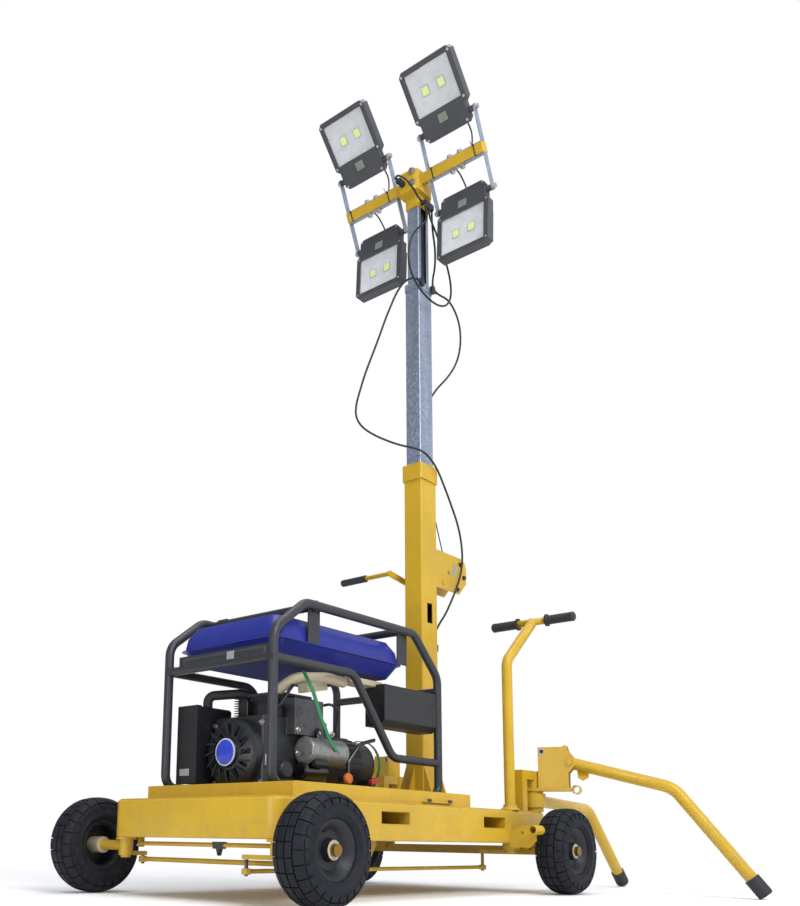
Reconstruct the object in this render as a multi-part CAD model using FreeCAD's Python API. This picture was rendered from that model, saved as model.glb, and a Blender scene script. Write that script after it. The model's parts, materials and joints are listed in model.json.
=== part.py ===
import FreeCAD, Part
import math
import os

# Hand-pushed mobile light tower: a four-wheeled steel cart with a petrol generator in a
# tray, a winch-raised mast of three rectangular stages, and four floodlights on a crossbar.
# Millimetres. X points to the front beam, Y to the side with the steering column, Z up.
# The sizes are written from the middle of the wheelbase; place() then moves the origin to
# the floor below the middle of the whole machine.

V = FreeCAD.Vector

# running gear
WHEELBASE = 1465.0
WHEEL_TRACK = 1052.0
TYRE_DIAMETER = 330.0
TYRE_WIDTH = 122.0
TYRE_SHOULDER = 26.0
TREAD_DEPTH = 6.0
TREAD_LUGS = 20
TREAD_SHARE = 0.72
RIM_DIAMETER = 172.0
RIM_WIDTH = 92.0
RIM_DISH = 26.0
HUB_DIAMETER = 56.0
AXLE_DIAMETER = 25.0
HUB_BORE_CLEARANCE = 0.4
AXLE_NUT_DIAMETER = 36.0
AXLE_NUT_THICKNESS = 14.0
HUB_SET_BACK = 6.0
REAR_AXLE_BAR = 34.0
REAR_AXLE_OVERHANG = 12.0
SADDLE_LENGTH = 76.0

# chassis
FRAME_FRONT_X = 776.0
FRAME_REAR_X = -860.0
FRAME_WIDTH = 770.0
FRAME_BOTTOM = 192.0
RAIL_WIDTH = 60.0
RAIL_HEIGHT = 124.0
FRAME_CORNER_RADIUS = 48.0
RAIL_EDGE_RADIUS = 7.0
DECK_THICKNESS = 4.0
DECK_MARGIN = 8.0
POCKET_WIDTH = 165.0
POCKET_HEIGHT = 48.0
POCKET_WALL = 4.0
POCKET_FLOOR_RISE = 52.0
POCKET_FRONT_X = 194.0
POCKET_REAR_X = -440.0

# tray that carries the generator
TRAY_FRONT_X = 656.0
TRAY_REAR_X = -332.0
TRAY_WIDTH = 702.0
TRAY_HEIGHT = 48.0
TRAY_SHEET = 4.0
TRAY_CORNER_RADIUS = 14.0
TRAY_TAB_LENGTH = 180.0
TRAY_TAB_X = -95.0
TRAY_TAB_DEPTH = 14.0
TRAY_TAB_THICKNESS = 5.0
TRAY_TAB_RISE = 8.0

# mast
MAST_X = -522.0
MAST_SECTION_X = 116.0
MAST_SECTION_Y = 90.0
MAST_WALL = 4.0
MAST_OUTER_LENGTH = 1470.0
BASE_PLATE_SIZE_X = 250.0
BASE_PLATE_SIZE_Y = 210.0
BASE_PLATE_THICKNESS = 10.0
GUSSET_HEIGHT = 170.0
GUSSET_THICKNESS = 8.0
GUSSET_TOE = 14.0
GUSSET_MARGIN = 8.0
COLLAR_HEIGHT = 72.0
COLLAR_WALL = 7.0
COLLAR_STAND = 12.0
PAD_CLEARANCE = 0.3
WINDOW_BOTTOM = 1108.0
WINDOW_HEIGHT = 86.0
WINDOW_WIDTH = 38.0
STAGE_1_SECTION_X = 100.0
STAGE_1_SECTION_Y = 76.0
STAGE_1_WALL = 3.0
STAGE_1_LENGTH = 1400.0
STAGE_1_TOP = 2680.0
STAGE_1_CAP_HEIGHT = 34.0
STAGE_1_CAP_WALL = 3.0
STAGE_1_PAD_WIDTH = 32.0
STAGE_1_LIP_PAD = 12.0
STAGE_2_SECTION_X = 82.0
STAGE_2_SECTION_Y = 62.0
STAGE_2_WALL = 3.0
STAGE_2_LIP = 20.0
STAGE_2_LENGTH = 1250.0
STAGE_2_TOP = 3120.0

# winch on the rear face of the mast
WINCH_CENTRE_Z = 1365.0
WINCH_SHAFT_REACH = 98.0
WINCH_PLATE_GAP = 74.0
WINCH_PLATE_THICKNESS = 5.0
WINCH_PLATE_LENGTH = 240.0
WINCH_PLATE_HEIGHT = 168.0
WINCH_PLATE_RADIUS = 46.0
WINCH_PLATE_CORNER = 60.0
WINCH_SPACER_DIAMETER = 14.0
WINCH_SPACER_INSET = 22.0
WINCH_SHAFT_END = 5.0
DRUM_FLANGE_DIAMETER = 108.0
DRUM_FLANGE_THICKNESS = 4.0
DRUM_SIDE_CLEARANCE = 6.0
ROPE_WIND_DIAMETER = 74.0
WINCH_SHAFT_DIAMETER = 16.0
CRANK_SHAFT_RISE = -56.0
CRANK_SHAFT_SET_BACK = 46.0
CRANK_SHAFT_REACH = 66.0
CRANK_ARM_LENGTH = 190.0
CRANK_ARM_WIDTH = 26.0
CRANK_ARM_THICKNESS = 8.0
CRANK_TURN = 8.0
CRANK_HANDLE_DIAMETER = 20.0
CRANK_HANDLE_LENGTH = 262.0
CRANK_GRIP_DIAMETER = 32.0
CRANK_GRIP_LENGTH = 134.0
CRANK_GRIP_END = 4.0
GRIP_BORE_CLEARANCE = 0.2

# head block and crossbar
HEAD_SLEEVE_WALL = 6.0
HEAD_SLEEVE_HEIGHT = 62.0
HEAD_BLOCK_X = 138.0
HEAD_BLOCK_Y = 108.0
HEAD_BLOCK_HEIGHT = 118.0
HEAD_BLOCK_CHAMFER = 18.0
HEAD_BLOCK_FORWARD = 18.0
CROSSBAR_SECTION = 44.0
CROSSBAR_WALL = 4.0
CROSSBAR_LENGTH = 752.0
CROSSBAR_FORWARD = 34.0
CROSSBAR_RISE = 62.0
CROSSBAR_LEAN = 24.0
CROSSBAR_CAP = 6.0
GLAND_DIAMETER = 30.0
GLAND_LENGTH = 36.0
GLAND_Y = -18.9
GLAND_RISE = 42.5

# floodlights
LAMP_PITCH = 464.0
LAMP_WIDTH = 262.0
LAMP_GLASS_PART = 214.0
LAMP_DRIVER_PART = 96.0
LAMP_DRIVER_WIDTH = 226.0
LAMP_DEPTH = 44.0
LAMP_CORNER = 16.0
LAMP_BEZEL = 22.0
LAMP_RECESS = 16.0
LAMP_GLASS_THICKNESS = 5.0
LAMP_FIN_DEPTH = 26.0
LAMP_FIN_THICKNESS = 4.0
LAMP_FINS = 9
LAMP_FIN_MARGIN = 9.0
LAMP_FIN_SLANT = 23.0
LAMP_DRIVER_MARGIN = 14.0
LAMP_PIN_END = 6.0
LAMP_PIVOT_DROP = 54.0
LAMP_PIVOT_DIAMETER = 16.0
LAMP_EAR_DIAMETER = 44.0
LAMP_SIDE_GAP = 7.0
BRACKET_STRAP = 30.0
BRACKET_THICKNESS = 5.0
BRACKET_REACH = 168.0
BRACKET_WASHER = 0.3
UPPER_LAMP_TILT = 41.0
LOWER_LAMP_TILT = -3.0

# front axle and steering
KINGPIN_DIAMETER = 20.0
KINGPIN_CLEARANCE = 0.3
KINGPIN_FLANGE = 70.0
KINGPIN_FLANGE_THICKNESS = 8.0
KINGPIN_HEAD = 34.0
KINGPIN_HEAD_HEIGHT = 7.0
KNUCKLE_DIAMETER = 48.0
KNUCKLE_HEIGHT = 52.0
KNUCKLE_PLAY = 0.3
STUB_DIAMETER = 34.0
STEERING_ARM_SECTION = 14.0
TIE_ARM_LENGTH = 75.0
TIE_ROD_DIAMETER = 16.0
TIE_ROD_DROP = 46.0
DRAG_ARM_LENGTH = 130.0
DRAG_ROD_DIAMETER = 14.0
DRAG_ROD_DROP = 69.0
LINK_EYE_EXTRA = 4.0
LINK_PIN_DIAMETER = 12.0
LINK_EYE_DIAMETER = 28.0
LINK_PIN_CLEARANCE = 0.3
CROSS_ROD_DIAMETER = 14.0
CROSS_ROD_SET_BACK = 44.0
CROSS_ROD_CLAMP_Y = 60.0
CROSS_ROD_CLAMP_WIDTH = 52.0
CROSS_ROD_CLAMP_LENGTH = 18.0
CROSS_ROD_CLAMP_RISE = 10.0
CROSS_ROD_CLAMP_DROP = 34.0
CROSS_ROD_HANGER = 8.0
CROSS_ROD_HANGER_LENGTH = 24.0
GUIDE_X = 146.0
GUIDE_WIDTH = 104.0
GUIDE_THICKNESS = 6.0
GUIDE_DEPTH = 62.0
GUIDE_TIP = 5.0
GUIDE_CLEARANCE = 6.0
COLUMN_X = -609.0
COLUMN_DIAMETER = 42.0
COLUMN_WALL = 3.0
COLUMN_CLEARANCE = 0.4
COLUMN_COLLAR_HEIGHT = 22.0
COLUMN_COLLAR_DIAMETER = 74.0
COLUMN_COLLAR_WALL = 5.0
COLUMN_BOSS_DIAMETER = 66.0
COLUMN_BOSS_HEIGHT = 26.0
LEVER_CLEARANCE = 1.0
COLUMN_BEND_Z = 920.0
COLUMN_BEND_RADIUS = 60.0
TBAR_SET_BACK = 226.0
TBAR_Z = 1122.0
TBAR_DIAMETER = 30.0
TBAR_LENGTH = 372.0
TBAR_GRIP_LENGTH = 122.0
TBAR_GRIP_DIAMETER = 40.0
TBAR_GRIP_FLANGE = 52.0
TBAR_GRIP_RIBS = 7
TBAR_GRIP_RIB_DEPTH = 2.0
TBAR_GRIP_END = 5.0

# corner posts and stabiliser legs
POST_DIAMETER = 74.0
POST_INSET_X = 38.0
POST_INSET_Y = 38.0
POST_HEIGHT = 84.0
POST_WALL = 5.0
BRACKET_PLATE_THICKNESS = 12.0
BRACKET_PLATE_LENGTH = 196.0
BRACKET_PLATE_WIDTH = 84.0
BRACKET_PLATE_REAR = 4.0
BRACKET_PLATE_CORNER = 20.0
CHEEK_THICKNESS = 8.0
CHEEK_START = 24.0
CHEEK_LENGTH = 120.0
CHEEK_BACK = 14.0
CHEEK_HEIGHT = 168.0
CHEEK_TIP = 8.0
CHEEK_NOSE = 14.0
CHEEK_NOSE_REACH = 20.0
LEG_DIAMETER = 48.0
LEG_WALL = 3.0
LEG_SIDE_GAP = 0.6
LEG_BOLT_DIAMETER = 14.0
LEG_BOLT_HEAD = 9.0
LEG_LUG_THICKNESS = 12.0
LEG_PIVOT_REACH = 150.0
LEG_PIVOT_RISE = 116.0
LEG_BEND_RADIUS = 110.0
SIDE_LEG_TURN = 108.3
SIDE_LEG_BEND_REACH = 536.0
SIDE_LEG_BEND_Z = 415.0
SIDE_LEG_FOOT_REACH = 838.0
REAR_LEG_Z = 366.0
REAR_LEG_BEND_REACH = 490.0
REAR_LEG_BEND_Z = 346.0
REAR_LEG_FOOT_REACH = 832.0
REAR_LEG_SLEEVE_WALL = 9.0
REAR_LEG_SLEEVE_HEIGHT = 56.0
SLEEVE_CLEARANCE = 0.4
FOOT_DIAMETER = 58.0
FOOT_LENGTH = 78.0
FOOT_OVERLAP = 58.0
FOOT_EDGE = 9.0
POST_CORE_DIAMETER = 56.0
STUB_TUBE_DIAMETER = 36.0
STUB_TUBE_WALL = 4.0
STUB_TUBE_LENGTH = 60.0
BRACE_SECTION = 36.0
BRACE_REACH = 108.0
BRACE_HEIGHT = 166.0
SIDE_LUG_X = -550.0
SIDE_LUG_REACH = 112.0
SIDE_LUG_HEIGHT = 84.0
SIDE_LUG_THICKNESS = 8.0
SIDE_LUG_HOLE = 14.0
SIDE_LUG_TUBE = 36.0
SIDE_LUG_TUBE_LENGTH = 64.0
SIDE_LUG_TUBE_WALL = 4.0
SIDE_LUG_TOP_SHARE = 0.55
SIDE_LUG_CORNER = 26.0
SIDE_LUG_NECK = 52.0
SIDE_LUG_SEAT = 2.0

# generator
GEN_FRONT_X = 640.0
GEN_REAR_X = -326.0
GEN_WIDTH = 540.0
GEN_OFFSET_Y = -36.0
GEN_FOOT_HEIGHT = 22.0
GEN_FOOT_DIAMETER = 46.0
GEN_TUBE = 32.0
GEN_INNER_TUBE = 30.0
GEN_FOOT_BEND = 48.0
GEN_TOP_CROSS_INSET = 60.0
GEN_PLATE_HEIGHT = 46.0
GEN_PLATE_THICKNESS = 6.0
GEN_PLATE_INSET = 60.0
GEN_TOP_Z = 975.0
GEN_BEND = 70.0
GEN_FRONT_SHOULDER_Z = 862.0
GEN_FRONT_SHOULDER_X = 150.0
GEN_REAR_SHOULDER_Z = 824.0
GEN_REAR_SHOULDER_X = 158.0
GEN_MID_RAIL_Z = 770.0
GEN_MID_RAIL_END = 410.0
GEN_LOW_RAIL_Z = 490.0
GEN_LOW_RAIL_START = 640.0
GEN_CROSS_WIDTH = 60.0
GEN_CROSS_HEIGHT = 20.0
GEN_FRONT_CROSS_SET_BACK = 210.0
GEN_REAR_CROSS_SET_BACK = 180.0
TANK_LENGTH = 700.0
TANK_WIDTH = 470.0
TANK_HEIGHT = 138.0
TANK_BOTTOM_Z = 792.0
TANK_SEAM_HEIGHT = 52.0
TANK_FLANGE = 9.0
TANK_FLANGE_THICKNESS = 4.0
TANK_SLOPE = 34.0
TANK_FRONT_GAP = 14.0
TANK_CORNER = 44.0
TANK_EDGE_DROP = 40.0
TANK_EDGE_INSET = 8.0
TANK_CAP_DIAMETER = 82.0
TANK_CAP_HEIGHT = 24.0
TANK_CAP_SET_BACK = 150.0
TANK_STRAP_WIDTH = 60.0
TANK_STRAP_THICKNESS = 4.0
ENGINE_LENGTH = 330.0
ENGINE_WIDTH = 250.0
ENGINE_HEIGHT = 226.0
ENGINE_FRONT_SET_BACK = 118.0
ENGINE_SHAFT_Z = 478.0
ENGINE_CORNER = 20.0
CYLINDER_HEAD_HEIGHT = 92.0
HEAD_REAR_INSET = 60.0
HEAD_FRONT_INSET = 90.0
HEAD_SIDE_INSET = 30.0
VALVE_BOX_INSET = 16.0
VALVE_BOX_REACH = 38.0
VALVE_BOX_DROP = 60.0
VALVE_BOX_TOP_GAP = 26.0
COVER_DIAMETER = 236.0
COVER_DEPTH = 52.0
COVER_SLOTS = 12
COVER_SLOT_WIDTH = 12.0
COVER_SHOULDER = 14.0
COVER_DISC_DIAMETER = 92.0
AIR_BOX_LENGTH = 172.0
AIR_BOX_WIDTH = 96.0
AIR_BOX_HEIGHT = 268.0
AIR_BOX_GAP = 12.0
AIR_BOX_CORNER = 14.0
MUFFLER_DIAMETER = 92.0
MUFFLER_LENGTH = 190.0
MUFFLER_X = 190.0
MUFFLER_SIDE_GAP = 2.0
MUFFLER_DROP = 66.0
MUFFLER_EDGE = 10.0
EXHAUST_PIPE_DIAMETER = 34.0
ALTERNATOR_DIAMETER = 194.0
ALTERNATOR_LENGTH = 350.0
ALTERNATOR_STEP = 8.0
ALTERNATOR_FOOT_LENGTH = 48.0
ALTERNATOR_FOOT_WIDTH = 140.0
PANEL_LENGTH = 336.0
PANEL_HEIGHT = 152.0
PANEL_DEPTH = 90.0
PANEL_BOTTOM_Z = 604.0
PANEL_CORNER = 22.0

# cables
CABLE_DIAMETER = 9.0
CABLE_BEND_SHARE = 0.45
CABLE_LEAD_OUT = 38.0
CLIP_LEAD_IN = 30.0
GLAND_LEAD_OUT = 25.0
OUTLET_LENGTH = 26.0
OUTLET_DEPTH = 30.0
OUTLET_HEIGHT = 30.0
LOW_OUTLET_TOP = 1030.0
LOW_OUTLET_Y = 15.0
HIGH_OUTLET_TOP = 1690.0
HIGH_OUTLET_Y = -14.0
CLIP_LENGTH = 22.0
CLIP_DEPTH = 14.0
CLIP_HEIGHT = 32.0
CLIP_RISE = 6.0
CLIP_REAR_STAND = 2.0
JUNCTION_LENGTH = 66.0
JUNCTION_DEPTH = 27.0
JUNCTION_HEIGHT = 26.0
JUNCTION_OUTLET_PITCH = 22.0
JUNCTION_SET_BACK = 6.0


# Solids from plain terms
def box(x, y, z):
    """Box from three (low, high) pairs."""
    size = [pair[1] - pair[0] for pair in (x, y, z)]
    return Part.makeBox(size[0], size[1], size[2], V(x[0], y[0], z[0]))


def rod(start, end, diameter):
    """Round bar between two points."""
    axis = end.sub(start)
    return Part.makeCylinder(diameter / 2, axis.Length, start, axis)


def pipe(start, end, outer, inner):
    """Straight round tube between two points."""
    return rod(start, end, outer).cut(rod(start, end, inner))


def rounded_rectangle(x, y, radius, z):
    """Flat face with rounded corners in the plane of height z."""
    (x0, x1), (y0, y1) = x, y
    r = radius
    k = r * (1 - math.sqrt(0.5))
    corners = (
        ((x0, y0 + r), (x0 + k, y0 + k), (x0 + r, y0)),
        ((x1 - r, y0), (x1 - k, y0 + k), (x1, y0 + r)),
        ((x1, y1 - r), (x1 - k, y1 - k), (x1 - r, y1)),
        ((x0 + r, y1), (x0 + k, y1 - k), (x0, y1 - r)),
    )
    edges = []
    for place, corner in enumerate(corners):
        a, m, b = [V(p[0], p[1], z) for p in corner]
        edges.append(Part.Arc(a, m, b).toShape())
        after = corners[(place + 1) % 4][0]
        edges.append(Part.LineSegment(b, V(after[0], after[1], z)).toShape())
    return Part.Face(Part.Wire(edges))


def rounded_box(x, y, z, radius):
    """Box with its four upright edges rounded."""
    return rounded_rectangle(x, y, radius, z[0]).extrude(V(0, 0, z[1] - z[0]))


def plate(points, direction):
    """Flat outline of 3-D points, thickened along a direction."""
    return Part.Face(Part.makePolygon(list(points) + [points[0]])).extrude(direction)


def turned(outline, centre, axis):
    """Solid turned from (distance along axis, radius) points round an axis through centre."""
    along = V(axis)
    along.normalize()
    side = V(0, 0, 1) if abs(along.z) < 0.9 else V(1, 0, 0)
    points = [centre.add(V(along).multiply(a)).add(V(side).multiply(r)) for a, r in outline]
    return Part.Face(Part.makePolygon(points + [points[0]])).revolve(centre, along, 360)


def bent_wire(points, radii):
    """Path of straight runs joined by tangent arcs, one radius for each inner point."""
    edges = []
    start = points[0]
    for before, corner, after, radius in zip(points, points[1:], points[2:], radii):
        back = before.sub(corner)
        back.normalize()
        ahead = after.sub(corner)
        ahead.normalize()
        half_turn = (math.pi - back.getAngle(ahead)) / 2
        reach = radius * math.tan(half_turn)
        first = corner.add(V(back).multiply(reach))
        last = corner.add(V(ahead).multiply(reach))
        inward = back.add(ahead)
        inward.normalize()
        gap = radius / math.cos(half_turn) - radius
        middle = corner.add(inward.multiply(gap))
        edges.append(Part.LineSegment(start, first).toShape())
        edges.append(Part.Arc(first, middle, last).toShape())
        start = last
    edges.append(Part.LineSegment(start, points[-1]).toShape())
    return Part.Wire(edges)


def bent_bar(points, radii, diameter):
    """Round bar along a bent path."""
    path = bent_wire(points, radii)
    circle = Part.Circle(points[0], points[1].sub(points[0]), diameter / 2)
    profile = Part.Wire([circle.toShape()])
    return path.makePipeShell([profile], True, False)


def bent_tube(points, radii, outer, wall):
    """Round tube along a bent path, open at both ends."""
    return bent_bar(points, radii, outer).cut(bent_bar(points, radii, outer - 2 * wall))


def rectangular_tube(centre, size_x, size_y, z, wall, radius):
    """Upright rectangular tube of one wall."""
    x, y = centre
    outer = rounded_box((x - size_x / 2, x + size_x / 2), (y - size_y / 2, y + size_y / 2), z, radius)
    hx = size_x / 2 - wall
    hy = size_y / 2 - wall
    return outer.cut(rounded_box((x - hx, x + hx), (y - hy, y + hy), z, max(radius - wall, 0.6)))


def joined(shapes):
    """One solid from pieces that touch or overlap."""
    return shapes[0].multiFuse(shapes[1:]).removeSplitter()


def group(shapes):
    """Separate solids that share one node."""
    return Part.makeCompound(shapes)


# Places worked out from the sizes
AXLE_Z = TYRE_DIAMETER / 2
HALF_TRACK = WHEEL_TRACK / 2
FRONT_AXLE_X = WHEELBASE / 2
REAR_AXLE_X = -WHEELBASE / 2
FRAME_HALF = FRAME_WIDTH / 2
FRAME_TOP = FRAME_BOTTOM + RAIL_HEIGHT
RAIL_Y = FRAME_HALF - RAIL_WIDTH / 2
DECK_TOP = FRAME_TOP + DECK_THICKNESS
POCKET_Z = (FRAME_BOTTOM + POCKET_FLOOR_RISE, FRAME_BOTTOM + POCKET_FLOOR_RISE + POCKET_HEIGHT)
TRAY_FLOOR = DECK_TOP + TRAY_SHEET
MAST_BOTTOM = DECK_TOP + BASE_PLATE_THICKNESS
MAST_TOP = MAST_BOTTOM + MAST_OUTER_LENGTH
MAST_REAR_X = MAST_X - MAST_SECTION_X / 2
STAGE_1_BOTTOM = STAGE_1_TOP - STAGE_1_LENGTH
BAR_X = MAST_X + CROSSBAR_FORWARD
HEAD_BOTTOM = STAGE_2_TOP
BAR_Z = HEAD_BOTTOM + CROSSBAR_RISE
POST_X = FRAME_REAR_X + POST_INSET_X
POST_Y = FRAME_HALF - POST_INSET_Y
POST_TOP = DECK_TOP + POST_HEIGHT
TIE_ROD_Z = AXLE_Z - TIE_ROD_DROP
DRAG_ROD_Z = AXLE_Z - DRAG_ROD_DROP


# Chassis
def chassis_frame():
    """Ring of box rail with fork holes, steering bearings, guide plate and side lugs."""
    z = (FRAME_BOTTOM, FRAME_TOP)
    outer = rounded_box(
        (FRAME_REAR_X, FRAME_FRONT_X), (-FRAME_HALF, FRAME_HALF), z, FRAME_CORNER_RADIUS
    )
    rim = [e for e in outer.Edges if abs(e.BoundBox.ZLength) < 0.01]
    outer = outer.makeFillet(RAIL_EDGE_RADIUS, rim)
    inner = box(
        (FRAME_REAR_X + RAIL_WIDTH, FRAME_FRONT_X - RAIL_WIDTH),
        (RAIL_WIDTH - FRAME_HALF, FRAME_HALF - RAIL_WIDTH),
        z,
    )
    ring = outer.cut(inner)
    for x in (POCKET_FRONT_X, POCKET_REAR_X):
        hole = box((x - POCKET_WIDTH / 2, x + POCKET_WIDTH / 2), (-FRAME_HALF, FRAME_HALF), POCKET_Z)
        ring = ring.cut(hole)
    boss_bottom = FRAME_BOTTOM - COLUMN_BOSS_HEIGHT
    boss = rod(V(COLUMN_X, RAIL_Y, boss_bottom), V(COLUMN_X, RAIL_Y, FRAME_BOTTOM), COLUMN_BOSS_DIAMETER)
    pieces = [ring, boss]
    for side in (1, -1):
        pieces.append(kingpin(side))
    frame = joined(pieces)
    bore = rod(
        V(COLUMN_X, RAIL_Y, boss_bottom),
        V(COLUMN_X, RAIL_Y, FRAME_TOP),
        COLUMN_DIAMETER + 2 * COLUMN_CLEARANCE,
    )
    return group([frame.cut(bore), side_lug(1), side_lug(-1)])


def kingpin(side):
    """Flange and upright pin under one side rail, with a head below the knuckle."""
    y = side * RAIL_Y
    top = FRAME_BOTTOM - KINGPIN_FLANGE_THICKNESS
    low = top - KNUCKLE_HEIGHT - 2 * KNUCKLE_PLAY
    flange = rod(V(FRONT_AXLE_X, y, top), V(FRONT_AXLE_X, y, FRAME_BOTTOM), KINGPIN_FLANGE)
    pin = rod(V(FRONT_AXLE_X, y, low), V(FRONT_AXLE_X, y, top), KINGPIN_DIAMETER)
    head = rod(V(FRONT_AXLE_X, y, low - KINGPIN_HEAD_HEIGHT), V(FRONT_AXLE_X, y, low), KINGPIN_HEAD)
    return flange.fuse(pin).fuse(head)


def side_lug(side):
    """Drilled bracket plate on a side rail, with a short tube at its outer end."""
    face = FRAME_HALF
    top = FRAME_BOTTOM + RAIL_HEIGHT * SIDE_LUG_TOP_SHARE
    low = top - SIDE_LUG_HEIGHT
    reach = FRAME_HALF + SIDE_LUG_REACH
    x = SIDE_LUG_X - SIDE_LUG_THICKNESS / 2
    c = SIDE_LUG_CORNER
    neck = face + SIDE_LUG_NECK
    corners = ((face, low), (reach - c, low), (reach, low + c), (reach, top), (neck, top), (face, top - c))
    sheet = plate([V(x, side * y, z) for y, z in corners], V(SIDE_LUG_THICKNESS, 0, 0))
    hole_y = side * (FRAME_HALF + SIDE_LUG_REACH * 0.5)
    hole_z = top - SIDE_LUG_HEIGHT * 0.35
    hole = rod(V(x, hole_y, hole_z), V(x + SIDE_LUG_THICKNESS, hole_y, hole_z), SIDE_LUG_HOLE)
    tube_y = side * (reach - SIDE_LUG_SEAT + SIDE_LUG_TUBE / 2)
    tube_z = top - SIDE_LUG_TUBE / 2
    start = V(SIDE_LUG_X - SIDE_LUG_THICKNESS / 2, tube_y, tube_z)
    inner = SIDE_LUG_TUBE - 2 * SIDE_LUG_TUBE_WALL
    tube = pipe(start, start.add(V(SIDE_LUG_TUBE_LENGTH, 0, 0)), SIDE_LUG_TUBE, inner)
    return joined([sheet.cut(hole), tube])


def fork_pockets():
    """Two rectangular tubes across the frame for the tines of a forklift."""
    tubes = []
    for x in (POCKET_FRONT_X, POCKET_REAR_X):
        xs = (x - POCKET_WIDTH / 2, x + POCKET_WIDTH / 2)
        outer = box(xs, (-FRAME_HALF, FRAME_HALF), POCKET_Z)
        inner = box(
            (xs[0] + POCKET_WALL, xs[1] - POCKET_WALL),
            (-FRAME_HALF, FRAME_HALF),
            (POCKET_Z[0] + POCKET_WALL, POCKET_Z[1] - POCKET_WALL),
        )
        tubes.append(outer.cut(inner))
    return group(tubes)


def deck_plate():
    """Sheet over the whole frame, with a hole for the steering column."""
    sheet = rounded_box(
        (FRAME_REAR_X + DECK_MARGIN, FRAME_FRONT_X - DECK_MARGIN),
        (DECK_MARGIN - FRAME_HALF, FRAME_HALF - DECK_MARGIN),
        (FRAME_TOP, DECK_TOP),
        FRAME_CORNER_RADIUS - DECK_MARGIN,
    )
    hole = rod(
        V(COLUMN_X, RAIL_Y, FRAME_TOP), V(COLUMN_X, RAIL_Y, DECK_TOP), COLUMN_DIAMETER + 2 * COLUMN_CLEARANCE
    )
    return joined([sheet.cut(hole), column_collar()])


def column_collar():
    """Flared bearing collar on the deck, round the steering column."""
    bore = COLUMN_DIAMETER / 2 + COLUMN_CLEARANCE
    wide = COLUMN_COLLAR_DIAMETER / 2
    neck = bore + COLUMN_COLLAR_WALL
    outline = (
        (0, bore),
        (0, wide),
        (COLUMN_COLLAR_WALL, wide),
        (COLUMN_COLLAR_HEIGHT * 0.6, neck),
        (COLUMN_COLLAR_HEIGHT, neck),
        (COLUMN_COLLAR_HEIGHT, bore),
    )
    return turned(outline, V(COLUMN_X, RAIL_Y, DECK_TOP), V(0, 0, 1))


def generator_tray():
    """Shallow sheet pan with an upturned rim and a small tab on its near side."""
    half = TRAY_WIDTH / 2
    z = (DECK_TOP, TRAY_FLOOR + TRAY_HEIGHT - TRAY_SHEET)
    pan = rounded_box((TRAY_REAR_X, TRAY_FRONT_X), (-half, half), z, TRAY_CORNER_RADIUS)
    hollow = rounded_box(
        (TRAY_REAR_X + TRAY_SHEET, TRAY_FRONT_X - TRAY_SHEET),
        (TRAY_SHEET - half, half - TRAY_SHEET),
        (TRAY_FLOOR, z[1]),
        TRAY_CORNER_RADIUS - TRAY_SHEET,
    )
    x0 = TRAY_TAB_X - TRAY_TAB_LENGTH / 2
    tab_z = (DECK_TOP + TRAY_TAB_RISE, DECK_TOP + TRAY_TAB_RISE + TRAY_TAB_THICKNESS)
    tab = box((x0, x0 + TRAY_TAB_LENGTH), (half - TRAY_SHEET / 2, half + TRAY_TAB_DEPTH), tab_z)
    return joined([pan.cut(hollow), tab])


# Running gear
def tyre(x, y):
    """Pneumatic tyre with a rounded crown and blocks of tread joined to it."""
    r = TYRE_DIAMETER / 2 - TREAD_DEPTH
    half = TYRE_WIDTH / 2
    bead = RIM_DIAMETER / 2
    s = TYRE_SHOULDER
    seat = RIM_WIDTH / 2
    centre = V(x, y, AXLE_Z)

    def point(across, radius):
        return centre.add(V(0, across, radius))

    crown = Part.Arc(point(-half + s * 0.7, r - s * 0.42), point(0, r), point(half - s * 0.7, r - s * 0.42))
    edges = [crown.toShape()]
    for turn in (1, -1):
        shoulder = point(turn * (half - s * 0.7), r - s * 0.42)
        flank = point(turn * half, r - s * 1.5)
        middle = point(turn * (half - s * 0.17), r - s * 0.82)
        low = point(turn * seat, bead)
        belly = point(turn * (half - 1), bead + (r - s * 1.5 - bead) * 0.42)
        edges.append(Part.Arc(shoulder, middle, flank).toShape())
        edges.append(Part.Arc(flank, belly, low).toShape())
    edges.append(Part.LineSegment(point(seat, bead), point(-seat, bead)).toShape())
    body = Part.Face(Part.Wire(Part.__sortEdges__(edges))).revolve(centre, V(0, 1, 0), 360)
    return body.fuse(tread(centre, r, half, s))


def tread(centre, r, half, s):
    """Three staggered rows of flat-topped blocks on the crown."""
    pitch = 360.0 / TREAD_LUGS
    half_turn = math.radians(pitch * TREAD_SHARE / 2)
    # row centre and width as shares of the half width, base and top radius, phase of the row
    rows = (
        (-0.62, 0.34, r - s * 0.62, r + TREAD_DEPTH - s * 0.30, 0.5),
        (0.0, 0.62, r - 6, r + TREAD_DEPTH, 0.0),
        (0.62, 0.34, r - s * 0.62, r + TREAD_DEPTH - s * 0.30, 0.5),
    )
    blocks = []
    for at, width, base, top, phase in rows:
        wide = width * half / 2
        for lug in range(TREAD_LUGS):
            reach = top * math.tan(half_turn)
            block = box((-reach, reach), (at * half - wide, at * half + wide), (base, top))
            block.rotate(V(0, 0, 0), V(0, 1, 0), (lug + phase) * pitch)
            block.translate(centre)
            blocks.append(block)
    return blocks


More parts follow.
